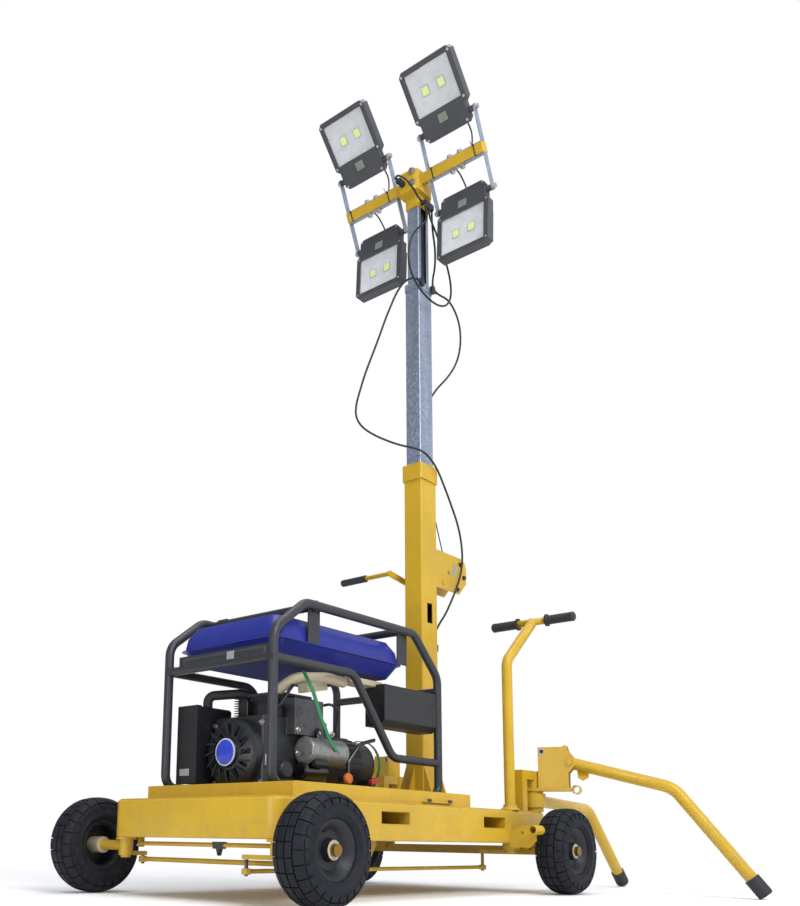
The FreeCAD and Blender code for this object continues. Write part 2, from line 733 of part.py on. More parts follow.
def rim(x, y, side):
    """Pressed steel rim with a dished disc, a hub tube and its bore for the axle."""
    r = RIM_DIAMETER / 2
    half = RIM_WIDTH / 2
    well = r - 14
    hub = HUB_DIAMETER / 2
    bore = AXLE_DIAMETER / 2 + HUB_BORE_CLEARANCE
    out = side
    outline = (
        (out * -half, r),
        (out * -half, r - 4),
        (out * (-half + 9), well - 3),
        (out * (half - RIM_DISH - 5), well - 3),
        (out * (half - RIM_DISH - 5), hub),
        (out * -half, hub),
        (out * -half, bore),
        (out * (half - HUB_SET_BACK), bore),
        (out * (half - HUB_SET_BACK), hub),
        (out * (half - RIM_DISH), hub + 6),
        (out * (half - RIM_DISH), well - 16),
        (out * (half - 10), well - 3),
        (out * half, r - 4),
        (out * half, r),
        (out * (half - 8), r),
        (out * (half - 16), well),
        (out * (16 - half), well),
        (out * (8 - half), r),
    )
    return turned(outline, V(x, y, AXLE_Z), V(0, 1, 0))


def axle_end(x, y_from, side):
    """Axle journal through a hub, with its nut and washer outside."""
    hub_in = side * (HALF_TRACK - RIM_WIDTH / 2)
    hub_out = side * (HALF_TRACK + RIM_WIDTH / 2 - HUB_SET_BACK + HUB_BORE_CLEARANCE)
    end = hub_out + side * AXLE_NUT_THICKNESS
    journal = rod(V(x, y_from, AXLE_Z), V(x, end, AXLE_Z), AXLE_DIAMETER)
    shoulder = rod(V(x, y_from, AXLE_Z), V(x, hub_in - side * HUB_BORE_CLEARANCE, AXLE_Z), STUB_DIAMETER)
    nut = rod(V(x, hub_out, AXLE_Z), V(x, end, AXLE_Z), AXLE_NUT_DIAMETER)
    return joined([journal, shoulder, nut])


def rear_axle():
    """Square bar under the rear of the frame, on two saddle blocks, with both journals."""
    half = REAR_AXLE_BAR / 2
    reach = FRAME_HALF + REAR_AXLE_OVERHANG
    bar = box((REAR_AXLE_X - half, REAR_AXLE_X + half), (-reach, reach), (AXLE_Z - half, AXLE_Z + half))
    pieces = [bar]
    for side in (1, -1):
        y = side * RAIL_Y
        ys = (y - RAIL_WIDTH / 2, y + RAIL_WIDTH / 2)
        saddle = (REAR_AXLE_X - SADDLE_LENGTH / 2, REAR_AXLE_X + SADDLE_LENGTH / 2)
        pieces.append(box(saddle, ys, (AXLE_Z, FRAME_BOTTOM)))
        pieces.append(axle_end(REAR_AXLE_X, side * FRAME_HALF, side))
    return joined(pieces)


def knuckle(side):
    """Barrel on the kingpin with the stub axle and the arm for the tie rod."""
    y = side * RAIL_Y
    top = FRAME_BOTTOM - KINGPIN_FLANGE_THICKNESS - KNUCKLE_PLAY
    low = top - KNUCKLE_HEIGHT
    barrel = rod(V(FRONT_AXLE_X, y, low), V(FRONT_AXLE_X, y, top), KNUCKLE_DIAMETER)
    bore = rod(V(FRONT_AXLE_X, y, low), V(FRONT_AXLE_X, y, top), KINGPIN_DIAMETER + 2 * KINGPIN_CLEARANCE)
    stub = axle_end(FRONT_AXLE_X, y + side * KNUCKLE_DIAMETER * 0.35, side)
    base = V(FRONT_AXLE_X, y, low)
    pieces = [barrel, stub, steering_arm(base, V(-1, 0, 0), TIE_ARM_LENGTH, TIE_ROD_Z - TIE_ROD_DIAMETER)]
    if side > 0:
        pin_low = DRAG_ROD_Z - DRAG_ROD_DIAMETER
        pieces.append(steering_arm(base, V(0, -1, 0), DRAG_ARM_LENGTH, pin_low))
    return joined(pieces).cut(bore)


def steering_arm(base, direction, length, pin_low):
    """Flat arm off the foot of a barrel, with a link pin that hangs from its end."""
    across = V(-direction.y, direction.x, 0)
    half = STEERING_ARM_SECTION
    z0 = base.z
    start = base.add(V(direction).multiply(KNUCKLE_DIAMETER * 0.36))
    end = base.add(V(direction).multiply(length))
    corners = [
        start.add(V(across).multiply(half)),
        end.add(V(across).multiply(half * 0.8)),
        end.sub(V(across).multiply(half * 0.8)),
        start.sub(V(across).multiply(half)),
    ]
    arm = plate([V(p.x, p.y, z0) for p in corners], V(0, 0, STEERING_ARM_SECTION))
    eye = rod(V(end.x, end.y, z0), V(end.x, end.y, z0 + STEERING_ARM_SECTION), LINK_EYE_DIAMETER)
    pin = rod(V(end.x, end.y, pin_low), V(end.x, end.y, z0), LINK_PIN_DIAMETER)
    return joined([arm, eye, pin])


def link_eye(x, y, z, height):
    """Eye of a link rod round an upright pin."""
    start = V(x, y, z - height / 2)
    return pipe(start, V(x, y, z + height / 2), LINK_EYE_DIAMETER, LINK_PIN_DIAMETER + 2 * LINK_PIN_CLEARANCE)


def tie_rod():
    """Rod between the rearward arms of both knuckles."""
    x = FRONT_AXLE_X - TIE_ARM_LENGTH
    inner = RAIL_Y - LINK_EYE_DIAMETER / 2 + 3
    bar = rod(V(x, -inner, TIE_ROD_Z), V(x, inner, TIE_ROD_Z), TIE_ROD_DIAMETER)
    height = TIE_ROD_DIAMETER + LINK_EYE_EXTRA
    return joined([bar] + [link_eye(x, side * RAIL_Y, TIE_ROD_Z, height) for side in (1, -1)])


def drag_rod():
    """Long rod from the lever under the steering column to the near knuckle."""
    y = RAIL_Y - DRAG_ARM_LENGTH
    inner = LINK_EYE_DIAMETER / 2 - 3
    bar = rod(V(COLUMN_X + inner, y, DRAG_ROD_Z), V(FRONT_AXLE_X - inner, y, DRAG_ROD_Z), DRAG_ROD_DIAMETER)
    height = DRAG_ROD_DIAMETER + LINK_EYE_EXTRA
    eyes = [link_eye(x, y, DRAG_ROD_Z, height) for x in (COLUMN_X, FRONT_AXLE_X)]
    return joined([bar] + eyes)


def front_cross_rod():
    """Fixed thin rod behind the front beam, with end hangers and a pointed clamp."""
    x = FRONT_AXLE_X - CROSS_ROD_SET_BACK
    z = AXLE_Z + CROSS_ROD_DIAMETER / 2
    half = FRAME_HALF - RAIL_WIDTH
    bar = rod(V(x, -half, z), V(x, half, z), CROSS_ROD_DIAMETER)
    pieces = [bar]
    for side in (1, -1):
        y = side * (half + CROSS_ROD_HANGER / 2)
        ys = (y - CROSS_ROD_HANGER / 2, y + CROSS_ROD_HANGER / 2)
        reach = CROSS_ROD_HANGER_LENGTH / 2
        pieces.append(box((x - reach, x + reach), ys, (z - reach, FRAME_BOTTOM)))
    c = CROSS_ROD_CLAMP_Y
    wide = CROSS_ROD_CLAMP_WIDTH / 2
    high = z + CROSS_ROD_CLAMP_RISE
    low = z - CROSS_ROD_CLAMP_DROP * 0.36
    point = z - CROSS_ROD_CLAMP_DROP
    outline = ((c - wide, high), (c + wide, high), (c + wide * 0.85, low), (c + wide * 0.3, low), (c, point),
               (c - wide * 0.3, low), (c - wide * 0.85, low))
    start = x - CROSS_ROD_CLAMP_LENGTH / 2
    pieces.append(plate([V(start, y, h) for y, h in outline], V(CROSS_ROD_CLAMP_LENGTH, 0, 0)))
    return joined(pieces)


def guide_plate():
    """Pointed plate that hangs from the front fork pocket, just above the drag rod."""
    y = RAIL_Y - DRAG_ARM_LENGTH
    x0 = GUIDE_X - GUIDE_WIDTH / 2
    top = POCKET_Z[0]
    tip = DRAG_ROD_Z + DRAG_ROD_DIAMETER / 2 + GUIDE_CLEARANCE
    low = top - GUIDE_DEPTH
    outline = (
        (x0, top), (x0 + GUIDE_WIDTH, top), (x0 + GUIDE_WIDTH, low),
        (GUIDE_X + GUIDE_TIP, tip), (GUIDE_X - GUIDE_TIP, tip), (x0, low),
    )
    return plate([V(x, y - GUIDE_THICKNESS / 2, z) for x, z in outline], V(0, GUIDE_THICKNESS, 0))


# Steering handle
def steering_column():
    """Upright tube with its T-bar, swept back above the bend, and the lever at its foot."""
    lever_top = FRAME_BOTTOM - COLUMN_BOSS_HEIGHT - LEVER_CLEARANCE
    foot = lever_top - STEERING_ARM_SECTION
    points = [
        V(COLUMN_X, RAIL_Y, foot),
        V(COLUMN_X, RAIL_Y, COLUMN_BEND_Z),
        V(COLUMN_X - TBAR_SET_BACK, RAIL_Y, TBAR_Z),
    ]
    tube = bent_tube(points, [COLUMN_BEND_RADIUS], COLUMN_DIAMETER, COLUMN_WALL)
    bar = rod(
        V(points[2].x, RAIL_Y - TBAR_LENGTH / 2, TBAR_Z),
        V(points[2].x, RAIL_Y + TBAR_LENGTH / 2, TBAR_Z),
        TBAR_DIAMETER,
    )
    pin_low = DRAG_ROD_Z - DRAG_ROD_DIAMETER
    lever = steering_arm(V(COLUMN_X, RAIL_Y, foot), V(0, -1, 0), DRAG_ARM_LENGTH, pin_low)
    disc = rod(V(COLUMN_X, RAIL_Y, foot), V(COLUMN_X, RAIL_Y, lever_top), COLUMN_DIAMETER + 8)
    return joined([tube, bar, lever, disc])


def steering_grips():
    """Ribbed rubber grips with a flange, on both ends of the T-bar."""
    grips = []
    x = COLUMN_X - TBAR_SET_BACK
    bore = TBAR_DIAMETER / 2 + GRIP_BORE_CLEARANCE
    outer = TBAR_GRIP_DIAMETER / 2
    flange = TBAR_GRIP_FLANGE / 2
    groove = outer - TBAR_GRIP_RIB_DEPTH
    tip = TBAR_GRIP_LENGTH + TBAR_GRIP_END
    step = (TBAR_GRIP_LENGTH - 12) / TBAR_GRIP_RIBS
    for side in (1, -1):
        outline = [(0, bore), (0, flange), (6, flange), (8, outer)]
        for rib in range(TBAR_GRIP_RIBS):
            start = 8 + rib * step
            ridge = start + step * 0.35
            outline.extend([(ridge, outer), (start + step * 0.5, groove), (start + step * 0.85, groove)])
        outline.extend([(TBAR_GRIP_LENGTH, outer), (tip, outer - TBAR_GRIP_END)])
        outline.extend([(tip, 0), (TBAR_GRIP_LENGTH, 0), (TBAR_GRIP_LENGTH, bore)])
        start = V(x, RAIL_Y + side * (TBAR_LENGTH / 2 - TBAR_GRIP_LENGTH), TBAR_Z)
        grips.append(turned(outline, start, V(0, side, 0)))
    return group(grips)


# Corner posts and legs
def leg_frame(side):
    """Unit vectors along and across a side leg, seen from above."""
    turn = math.radians(SIDE_LEG_TURN)
    along = V(math.cos(turn), side * math.sin(turn), 0)
    return along, V(-along.y, along.x, 0)


def along_leg(side, reach, across, z):
    """Point at a distance from the post along a side leg and across it."""
    along, aside = leg_frame(side)
    return V(POST_X, side * POST_Y, z).add(along.multiply(reach)).add(aside.multiply(across))


def corner_posts():
    """Two upright pipes on the rear corners of the deck."""
    posts = []
    for side in (1, -1):
        start = V(POST_X, side * POST_Y, DECK_TOP)
        end = start.add(V(0, 0, POST_HEIGHT))
        posts.append(pipe(start, end, POST_DIAMETER, POST_DIAMETER - 2 * POST_WALL))
    return group(posts)


def leg_bracket(side):
    """Plate on a corner post with two cheeks that hold the bolt of a side leg."""
    low = POST_TOP
    top = low + BRACKET_PLATE_THICKNESS
    width = BRACKET_PLATE_WIDTH / 2
    start = -POST_DIAMETER / 2 - BRACKET_PLATE_REAR
    end = start + BRACKET_PLATE_LENGTH
    c = BRACKET_PLATE_CORNER
    corners = (
        (start, -width), (end - c, -width), (end, c - width),
        (end, width - c), (end - c, width), (start, width),
    )
    base = plate([along_leg(side, a, b, low) for a, b in corners], V(0, 0, BRACKET_PLATE_THICKNESS))
    pieces = [base]
    gap = LEG_DIAMETER / 2 + LEG_SIDE_GAP
    first = CHEEK_START
    last = CHEEK_START + CHEEK_LENGTH
    pivot_z = POST_TOP + LEG_PIVOT_RISE
    reach = LEG_PIVOT_REACH
    outline = (
        (first, top - 1),
        (last, top - 1),
        (last, pivot_z - CHEEK_NOSE * 3),
        (reach + CHEEK_NOSE_REACH, pivot_z - CHEEK_NOSE),
        (reach + CHEEK_NOSE_REACH, pivot_z + CHEEK_NOSE),
        (last, top + CHEEK_HEIGHT - 18),
        (last - CHEEK_TIP, top + CHEEK_HEIGHT + CHEEK_TIP),
        (last - 22, top + CHEEK_HEIGHT),
        (first, top + CHEEK_HEIGHT),
    )
    for cheek in (-1, 1):
        inside = cheek * gap
        step = V(leg_frame(side)[1]).multiply(cheek * CHEEK_THICKNESS)
        pieces.append(plate([along_leg(side, a, inside, z) for a, z in outline], step))
    last = first + CHEEK_BACK
    back = [(first, -gap), (last, -gap), (last, gap), (first, gap)]
    pieces.append(
        plate([along_leg(side, a, b, top - 1) for a, b in back], V(0, 0, CHEEK_HEIGHT + 1))
    )
    bracket = joined(pieces)
    wide = gap + CHEEK_THICKNESS
    start = along_leg(side, reach, -wide, pivot_z)
    return bracket.cut(rod(start, along_leg(side, reach, wide, pivot_z), LEG_BOLT_DIAMETER))


def leg_bolt(side):
    """Pivot bolt through both cheeks and the leg, with its head and nut."""
    pivot_z = POST_TOP + LEG_PIVOT_RISE
    wide = LEG_DIAMETER / 2 + LEG_SIDE_GAP + CHEEK_THICKNESS
    shank = rod(
        along_leg(side, LEG_PIVOT_REACH, -wide - LEG_BOLT_HEAD, pivot_z),
        along_leg(side, LEG_PIVOT_REACH, wide + LEG_BOLT_HEAD, pivot_z),
        LEG_BOLT_DIAMETER,
    )
    heads = [
        rod(
            along_leg(side, LEG_PIVOT_REACH, turn * wide, pivot_z),
            along_leg(side, LEG_PIVOT_REACH, turn * (wide + LEG_BOLT_HEAD), pivot_z),
            LEG_BOLT_DIAMETER * 1.7,
        )
        for turn in (-1, 1)
    ]
    return joined([shank] + heads)


def leg_brackets():
    """Both side-leg brackets, each with its bolt, post core, brace and stub tube."""
    pieces = []
    for side in (1, -1):
        upper = [leg_bracket(side), leg_bolt(side), stub_tube(side)]
        pieces.append(joined(upper + [post_core(side), brace(side)]))
    return group(pieces)


def post_core(side):
    """Round core above the corner post, behind the cheeks."""
    x, y = POST_X, side * POST_Y
    return rod(V(x, y, POST_TOP), V(x, y, DECK_TOP + BRACE_HEIGHT), POST_CORE_DIAMETER)


def stub_tube(side):
    """Short open tube across the outer end of the bracket plate."""
    reach = BRACKET_PLATE_LENGTH - POST_DIAMETER / 2 - BRACKET_PLATE_REAR + STUB_TUBE_DIAMETER / 2 - 2
    z = POST_TOP + BRACKET_PLATE_THICKNESS / 2
    start = along_leg(side, reach, -STUB_TUBE_LENGTH / 2, z)
    end = along_leg(side, reach, STUB_TUBE_LENGTH / 2, z)
    return pipe(start, end, STUB_TUBE_DIAMETER, STUB_TUBE_DIAMETER - 2 * STUB_TUBE_WALL)


def brace(side):
    """Square tube from the deck up and over to the bracket, seen in front of the post."""
    half = BRACE_SECTION / 2
    x = POST_X + BRACE_REACH
    y = side * POST_Y
    top = DECK_TOP + BRACE_HEIGHT
    upright = box((x - half, x + half), (y - half, y + half), (DECK_TOP, top))
    over = box((POST_X, x + half), (y - half, y + half), (top - BRACE_SECTION, top))
    return upright.fuse(over)


def foot_height(slope):
    """Height of the middle of a foot's end when its rounded edge rests on the floor."""
    return FOOT_EDGE - FOOT_EDGE * math.sin(slope) + (FOOT_DIAMETER / 2 - FOOT_EDGE) * math.cos(slope)


def leg_run(bend_reach, bend_z, foot_reach):
    """Reach and height of the end of a foot, and its slope, worked out in two steps."""
    slope = math.atan2(bend_z, foot_reach - bend_reach)
    for step in range(12):
        end_z = foot_height(slope)
        slope = math.atan2(bend_z - end_z, foot_reach - bend_reach)
    return end_z, slope


def side_leg(side):
    """Bent tube that swings up on its bolt, with a rounded lug below the bolt."""
    end_z, slope = leg_run(SIDE_LEG_BEND_REACH, SIDE_LEG_BEND_Z, SIDE_LEG_FOOT_REACH)
    pivot_z = POST_TOP + LEG_PIVOT_RISE
    cut_back = FOOT_LENGTH - FOOT_OVERLAP
    end_reach = SIDE_LEG_FOOT_REACH - cut_back * math.cos(slope)
    points = [
        along_leg(side, LEG_PIVOT_REACH - 18, 0, pivot_z + 4),
        along_leg(side, SIDE_LEG_BEND_REACH, 0, SIDE_LEG_BEND_Z),
        along_leg(side, end_reach, 0, end_z + cut_back * math.sin(slope)),
    ]
    tube = bent_tube(points, [LEG_BEND_RADIUS], LEG_DIAMETER, LEG_WALL)
    eye = rod(
        along_leg(side, LEG_PIVOT_REACH, -LEG_DIAMETER / 2, pivot_z),
        along_leg(side, LEG_PIVOT_REACH, LEG_DIAMETER / 2, pivot_z),
        LEG_BOLT_DIAMETER + 14,
    )
    lug = plate(
        [
            along_leg(side, a, -LEG_LUG_THICKNESS / 2, z)
            for a, z in (
                (LEG_PIVOT_REACH + 26, pivot_z - 12),
                (LEG_PIVOT_REACH + 74, pivot_z - 26),
                (LEG_PIVOT_REACH + 68, pivot_z - 62),
                (LEG_PIVOT_REACH + 46, pivot_z - 74),
                (LEG_PIVOT_REACH + 28, pivot_z - 62),
            )
        ],
        V(leg_frame(side)[1]).multiply(LEG_LUG_THICKNESS),
    )
    leg = joined([tube, eye, lug])
    bore = rod(
        along_leg(side, LEG_PIVOT_REACH, -LEG_DIAMETER, pivot_z),
        along_leg(side, LEG_PIVOT_REACH, LEG_DIAMETER, pivot_z),
        LEG_BOLT_DIAMETER + 2 * KINGPIN_CLEARANCE,
    )
    return leg.cut(bore)


def foot(end, axis):
    """Rubber cap over the end of a leg tube, with a rounded edge."""
    along = V(axis)
    along.normalize()
    bore = LEG_DIAMETER + 2 * GRIP_BORE_CLEARANCE
    body = Part.makeCylinder(FOOT_DIAMETER / 2, FOOT_LENGTH, end.sub(V(along).multiply(FOOT_LENGTH)), along)
    far = [
        e
        for e in body.Edges
        if isinstance(e.Curve, Part.Circle) and e.Curve.Center.sub(end).Length < 0.01
    ]
    body = body.makeFillet(FOOT_EDGE, far)
    socket = Part.makeCylinder(bore / 2, FOOT_OVERLAP, end.sub(V(along).multiply(FOOT_LENGTH)), along)
    return body.cut(socket)


def side_foot(side):
    """Foot of a side leg."""
    end_z, slope = leg_run(SIDE_LEG_BEND_REACH, SIDE_LEG_BEND_Z, SIDE_LEG_FOOT_REACH)
    end = along_leg(side, SIDE_LEG_FOOT_REACH, 0, end_z)
    return foot(end, end.sub(along_leg(side, SIDE_LEG_BEND_REACH, 0, SIDE_LEG_BEND_Z)))


def rear_leg():
    """Bent tube that swings round the near corner post on a sleeve."""
    end_z, slope = leg_run(REAR_LEG_BEND_REACH, REAR_LEG_BEND_Z, REAR_LEG_FOOT_REACH)
    end_x = POST_X - REAR_LEG_FOOT_REACH
    cut_back = FOOT_LENGTH - FOOT_OVERLAP
    points = [
        V(POST_X - POST_DIAMETER / 2 - 2, POST_Y, REAR_LEG_Z),
        V(POST_X - REAR_LEG_BEND_REACH, POST_Y, REAR_LEG_BEND_Z),
        V(end_x + cut_back * math.cos(slope), POST_Y, end_z + cut_back * math.sin(slope)),
    ]
    tube = bent_tube(points, [LEG_BEND_RADIUS], LEG_DIAMETER, LEG_WALL)
    low = REAR_LEG_Z - REAR_LEG_SLEEVE_HEIGHT / 2
    start = V(POST_X, POST_Y, low)
    end = V(POST_X, POST_Y, low + REAR_LEG_SLEEVE_HEIGHT)
    bore = POST_DIAMETER + 2 * SLEEVE_CLEARANCE
    sleeve = rod(start, end, bore + 2 * REAR_LEG_SLEEVE_WALL)
    return joined([tube, sleeve]).cut(rod(start, end, bore))


def rear_foot():
    """Foot of the rear leg."""
    end_z, slope = leg_run(REAR_LEG_BEND_REACH, REAR_LEG_BEND_Z, REAR_LEG_FOOT_REACH)
    end = V(POST_X - REAR_LEG_FOOT_REACH, POST_Y, end_z)
    return foot(end, end.sub(V(POST_X - REAR_LEG_BEND_REACH, POST_Y, REAR_LEG_BEND_Z)))


# Mast
def mast_base():
    """Base plate with triangular gussets round the foot of the mast."""
    hx = BASE_PLATE_SIZE_X / 2
    hy = BASE_PLATE_SIZE_Y / 2
    base = box((MAST_X - hx, MAST_X + hx), (-hy, hy), (DECK_TOP, MAST_BOTTOM))
    pieces = [base]
    half_x = MAST_SECTION_X / 2
    half_y = MAST_SECTION_Y / 2
    t = GUSSET_THICKNESS
    low = MAST_BOTTOM - 1
    top = MAST_BOTTOM + GUSSET_HEIGHT
    for turn in (1, -1):
        x = MAST_X + turn * half_x
        end = MAST_X + turn * (hx - GUSSET_MARGIN)
        outline = ((x, low), (end, low), (end, low + GUSSET_TOE), (x, top))
        pieces.append(plate([V(a, -t / 2, z) for a, z in outline], V(0, t, 0)))
        y = turn * half_y
        end = turn * (hy - GUSSET_MARGIN)
        for shift in (-half_x + t, half_x - t):
            x = MAST_X + shift - t / 2
            outline = ((y, low), (end, low), (end, low + GUSSET_TOE), (y, top))
            pieces.append(plate([V(x, b, z) for b, z in outline], V(t, 0, 0)))
    return joined(pieces)


def mast_outer():
    """Outer mast tube with its two windows for the rope sheave."""
    tube = rectangular_tube(
        (MAST_X, 0), MAST_SECTION_X, MAST_SECTION_Y, (MAST_BOTTOM, MAST_TOP), MAST_WALL, 7.0
    )
    half = WINDOW_WIDTH / 2
    z = (WINDOW_BOTTOM, WINDOW_BOTTOM + WINDOW_HEIGHT)
    side = box((MAST_X - half, MAST_X + half), (0, MAST_SECTION_Y), z)
    rear = box((MAST_X - MAST_SECTION_X, MAST_X), (-half, half), z)
    tube = tube.cut(side).cut(rear)
    outlets = [cable_outlet(LOW_OUTLET_Y, LOW_OUTLET_TOP), cable_outlet(HIGH_OUTLET_Y, HIGH_OUTLET_TOP)]
    return joined([tube] + outlets)


def mast_collar():
    """Flared collar on the outer tube, with four wear pads that guide stage one."""
    low = MAST_TOP - COLLAR_HEIGHT + COLLAR_STAND
    top = MAST_TOP + COLLAR_STAND
    room_x = (MAST_SECTION_X - STAGE_1_SECTION_X) / 2
    room_y = (MAST_SECTION_Y - STAGE_1_SECTION_Y) / 2
    ring = rectangular_tube(
        (MAST_X, 0),
        MAST_SECTION_X + 2 * COLLAR_WALL,
        MAST_SECTION_Y + 2 * COLLAR_WALL,
        (low, MAST_TOP),
        COLLAR_WALL,
        12.0,
    )
    lid = rectangular_tube(
        (MAST_X, 0),
        MAST_SECTION_X + 2 * COLLAR_WALL,
        MAST_SECTION_Y + 2 * COLLAR_WALL,
        (MAST_TOP, top),
        COLLAR_WALL + min(room_x, room_y) - PAD_CLEARANCE,
        12.0,
    )
    gap_x = STAGE_1_SECTION_X / 2 + PAD_CLEARANCE
    gap_y = STAGE_1_SECTION_Y / 2 + PAD_CLEARANCE
    edge_x = MAST_SECTION_X / 2 + COLLAR_WALL / 2
    edge_y = MAST_SECTION_Y / 2 + COLLAR_WALL / 2
    wide_x = STAGE_1_SECTION_X * 0.3
    wide_y = STAGE_1_SECTION_Y * 0.3
    z = (MAST_TOP, top)
    pads = [
        box((MAST_X - wide_x, MAST_X + wide_x), (gap_y, edge_y), z),
        box((MAST_X - wide_x, MAST_X + wide_x), (-edge_y, -gap_y), z),
        box((MAST_X + gap_x, MAST_X + edge_x), (-wide_y, wide_y), z),
        box((MAST_X - edge_x, MAST_X - gap_x), (-wide_y, wide_y), z),
    ]
    return joined([ring, lid] + pads)


def mast_stage_1():
    """First sliding tube with the folded cap at its top."""
    tube = rectangular_tube(
        (MAST_X, 0), STAGE_1_SECTION_X, STAGE_1_SECTION_Y, (STAGE_1_BOTTOM, STAGE_1_TOP), STAGE_1_WALL, 6.0
    )
    cap = rectangular_tube(
        (MAST_X, 0),
        STAGE_1_SECTION_X + 2 * STAGE_1_CAP_WALL,
        STAGE_1_SECTION_Y + 2 * STAGE_1_CAP_WALL,
        (STAGE_1_TOP - STAGE_1_CAP_HEIGHT, STAGE_1_TOP),
        STAGE_1_CAP_WALL,
        7.0,
    )
    gap_x = STAGE_2_SECTION_X / 2 + PAD_CLEARANCE
    gap_y = STAGE_2_SECTION_Y / 2 + PAD_CLEARANCE
    wide_x = STAGE_1_SECTION_X / 2 - STAGE_1_WALL / 2
    wide_y = STAGE_1_SECTION_Y / 2 - STAGE_1_WALL / 2
    z = (STAGE_1_TOP - STAGE_1_CAP_HEIGHT, STAGE_1_TOP)
    pad = STAGE_1_PAD_WIDTH / 2
    lip_end = STAGE_2_SECTION_X / 2 - STAGE_2_WALL
    lip_start = lip_end - STAGE_1_LIP_PAD
    clips = [cable_clip(x) for x in (FRONT_CLIP_X, REAR_CLIP_X)]
    pads = [
        box((MAST_X + gap_x, MAST_X + wide_x), (-pad, pad), z),
        box((MAST_X - wide_x, MAST_X - gap_x), (-pad, pad), z),
        box((MAST_X - lip_end, MAST_X - lip_start), (gap_y, wide_y), z),
        box((MAST_X + lip_start, MAST_X + lip_end), (gap_y, wide_y), z),
        box((MAST_X - pad, MAST_X + pad), (-wide_y, -gap_y), z),
    ]
    return joined([tube, cap] + pads + clips)


def mast_stage_2():
    """Second sliding stage: a lipped channel whose slot faces the near side."""
    z = (STAGE_2_TOP - STAGE_2_LENGTH, STAGE_2_TOP)
    tube = rectangular_tube((MAST_X, 0), STAGE_2_SECTION_X, STAGE_2_SECTION_Y, z, STAGE_2_WALL, 5.0)
    half = STAGE_2_SECTION_X / 2 - STAGE_2_LIP
    slot = box((MAST_X - half, MAST_X + half), (0, STAGE_2_SECTION_Y), z)
    return tube.cut(slot)


def head_block():
    """Faceted box on a sleeve over the top of stage two, bored for the crossbar."""
    low = HEAD_BOTTOM
    x0 = MAST_X + HEAD_BLOCK_FORWARD - HEAD_BLOCK_X / 2
    x1 = x0 + HEAD_BLOCK_X
    y = HEAD_BLOCK_Y / 2
    block = box((x0, x1), (-y, y), (low, low + HEAD_BLOCK_HEIGHT))
    block = block.makeChamfer(HEAD_BLOCK_CHAMFER, [e for e in block.Edges if e.BoundBox.ZMax > low + 1])
    sleeve = rectangular_tube(
        (MAST_X, 0),
        STAGE_2_SECTION_X + 2 * HEAD_SLEEVE_WALL,
        STAGE_2_SECTION_Y + 2 * HEAD_SLEEVE_WALL,
        (low - HEAD_SLEEVE_HEIGHT, low),
        HEAD_SLEEVE_WALL,
        8.0,
    )
    gland = rod(HEAD_GLAND.sub(V(GLAND_LENGTH + 1, 0, 0)), HEAD_GLAND, GLAND_DIAMETER)
    hole = leaning_bar(CROSSBAR_SECTION, HEAD_BLOCK_Y)
    return joined([block, sleeve, gland, cable_junction()]).cut(hole)


def leaning_bar(section, length):
    """Square bar across the head, leaning with the lamps."""
    half = section / 2
    bar = box((BAR_X - half, BAR_X + half), (-length / 2, length / 2), (BAR_Z - half, BAR_Z + half))
    bar.rotate(V(BAR_X, 0, BAR_Z), V(0, 1, 0), CROSSBAR_LEAN)
    return bar


def crossbar():
    """Square tube that carries the four lamps, closed by a cap at each end."""
    tube = leaning_bar(CROSSBAR_SECTION, CROSSBAR_LENGTH)
    hollow = leaning_bar(CROSSBAR_SECTION - 2 * CROSSBAR_WALL, CROSSBAR_LENGTH - 2 * CROSSBAR_CAP)
    return tube.cut(hollow)


# Cables
CAP_SIDE = STAGE_1_SECTION_Y / 2 + STAGE_1_CAP_WALL
CLIP_BOTTOM = STAGE_1_TOP - STAGE_1_CAP_HEIGHT + CLIP_RISE
CLIP_Z = (CLIP_BOTTOM, CLIP_BOTTOM + CLIP_HEIGHT)
CLIP_MIDDLE = V(0, CAP_SIDE + CLIP_DEPTH / 2, (CLIP_Z[0] + CLIP_Z[1]) / 2)
FRONT_CLIP_X = MAST_X + STAGE_1_SECTION_X / 2 + STAGE_1_CAP_WALL - CLIP_LENGTH
REAR_CLIP_X = MAST_X - STAGE_1_SECTION_X / 2 - STAGE_1_CAP_WALL - CLIP_REAR_STAND
SLEEVE_SIDE = STAGE_2_SECTION_Y / 2 + HEAD_SLEEVE_WALL
JUNCTION_BOTTOM = HEAD_BOTTOM - HEAD_SLEEVE_HEIGHT
JUNCTION_OUTLET_Y = SLEEVE_SIDE + JUNCTION_DEPTH - CABLE_DIAMETER / 2 - 1
JUNCTION_FRONT = MAST_X + JUNCTION_LENGTH / 2 - JUNCTION_SET_BACK
HEAD_GLAND = V(
    MAST_X + HEAD_BLOCK_FORWARD + HEAD_BLOCK_X / 2 + GLAND_LENGTH,
    GLAND_Y,
    HEAD_BOTTOM + GLAND_RISE,
)


def cable_outlet(y, top):
    """Block on the rear face of the outer mast that lets a cable out of its top."""
    ys = (y - OUTLET_LENGTH / 2, y + OUTLET_LENGTH / 2)
    return box((MAST_REAR_X - OUTLET_DEPTH, MAST_REAR_X), ys, (top - OUTLET_HEIGHT, top))


def cable_clip(x):
    """Block on the near side of the cap of stage one."""
    return box((x, x + CLIP_LENGTH), (CAP_SIDE, CAP_SIDE + CLIP_DEPTH), CLIP_Z)


def cable_junction():
    """Box on the near side of the head sleeve, where the cables meet."""
    return box(
        (JUNCTION_FRONT - JUNCTION_LENGTH, JUNCTION_FRONT),
        (SLEEVE_SIDE, SLEEVE_SIDE + JUNCTION_DEPTH),
        (JUNCTION_BOTTOM, JUNCTION_BOTTOM + JUNCTION_HEIGHT),
    )


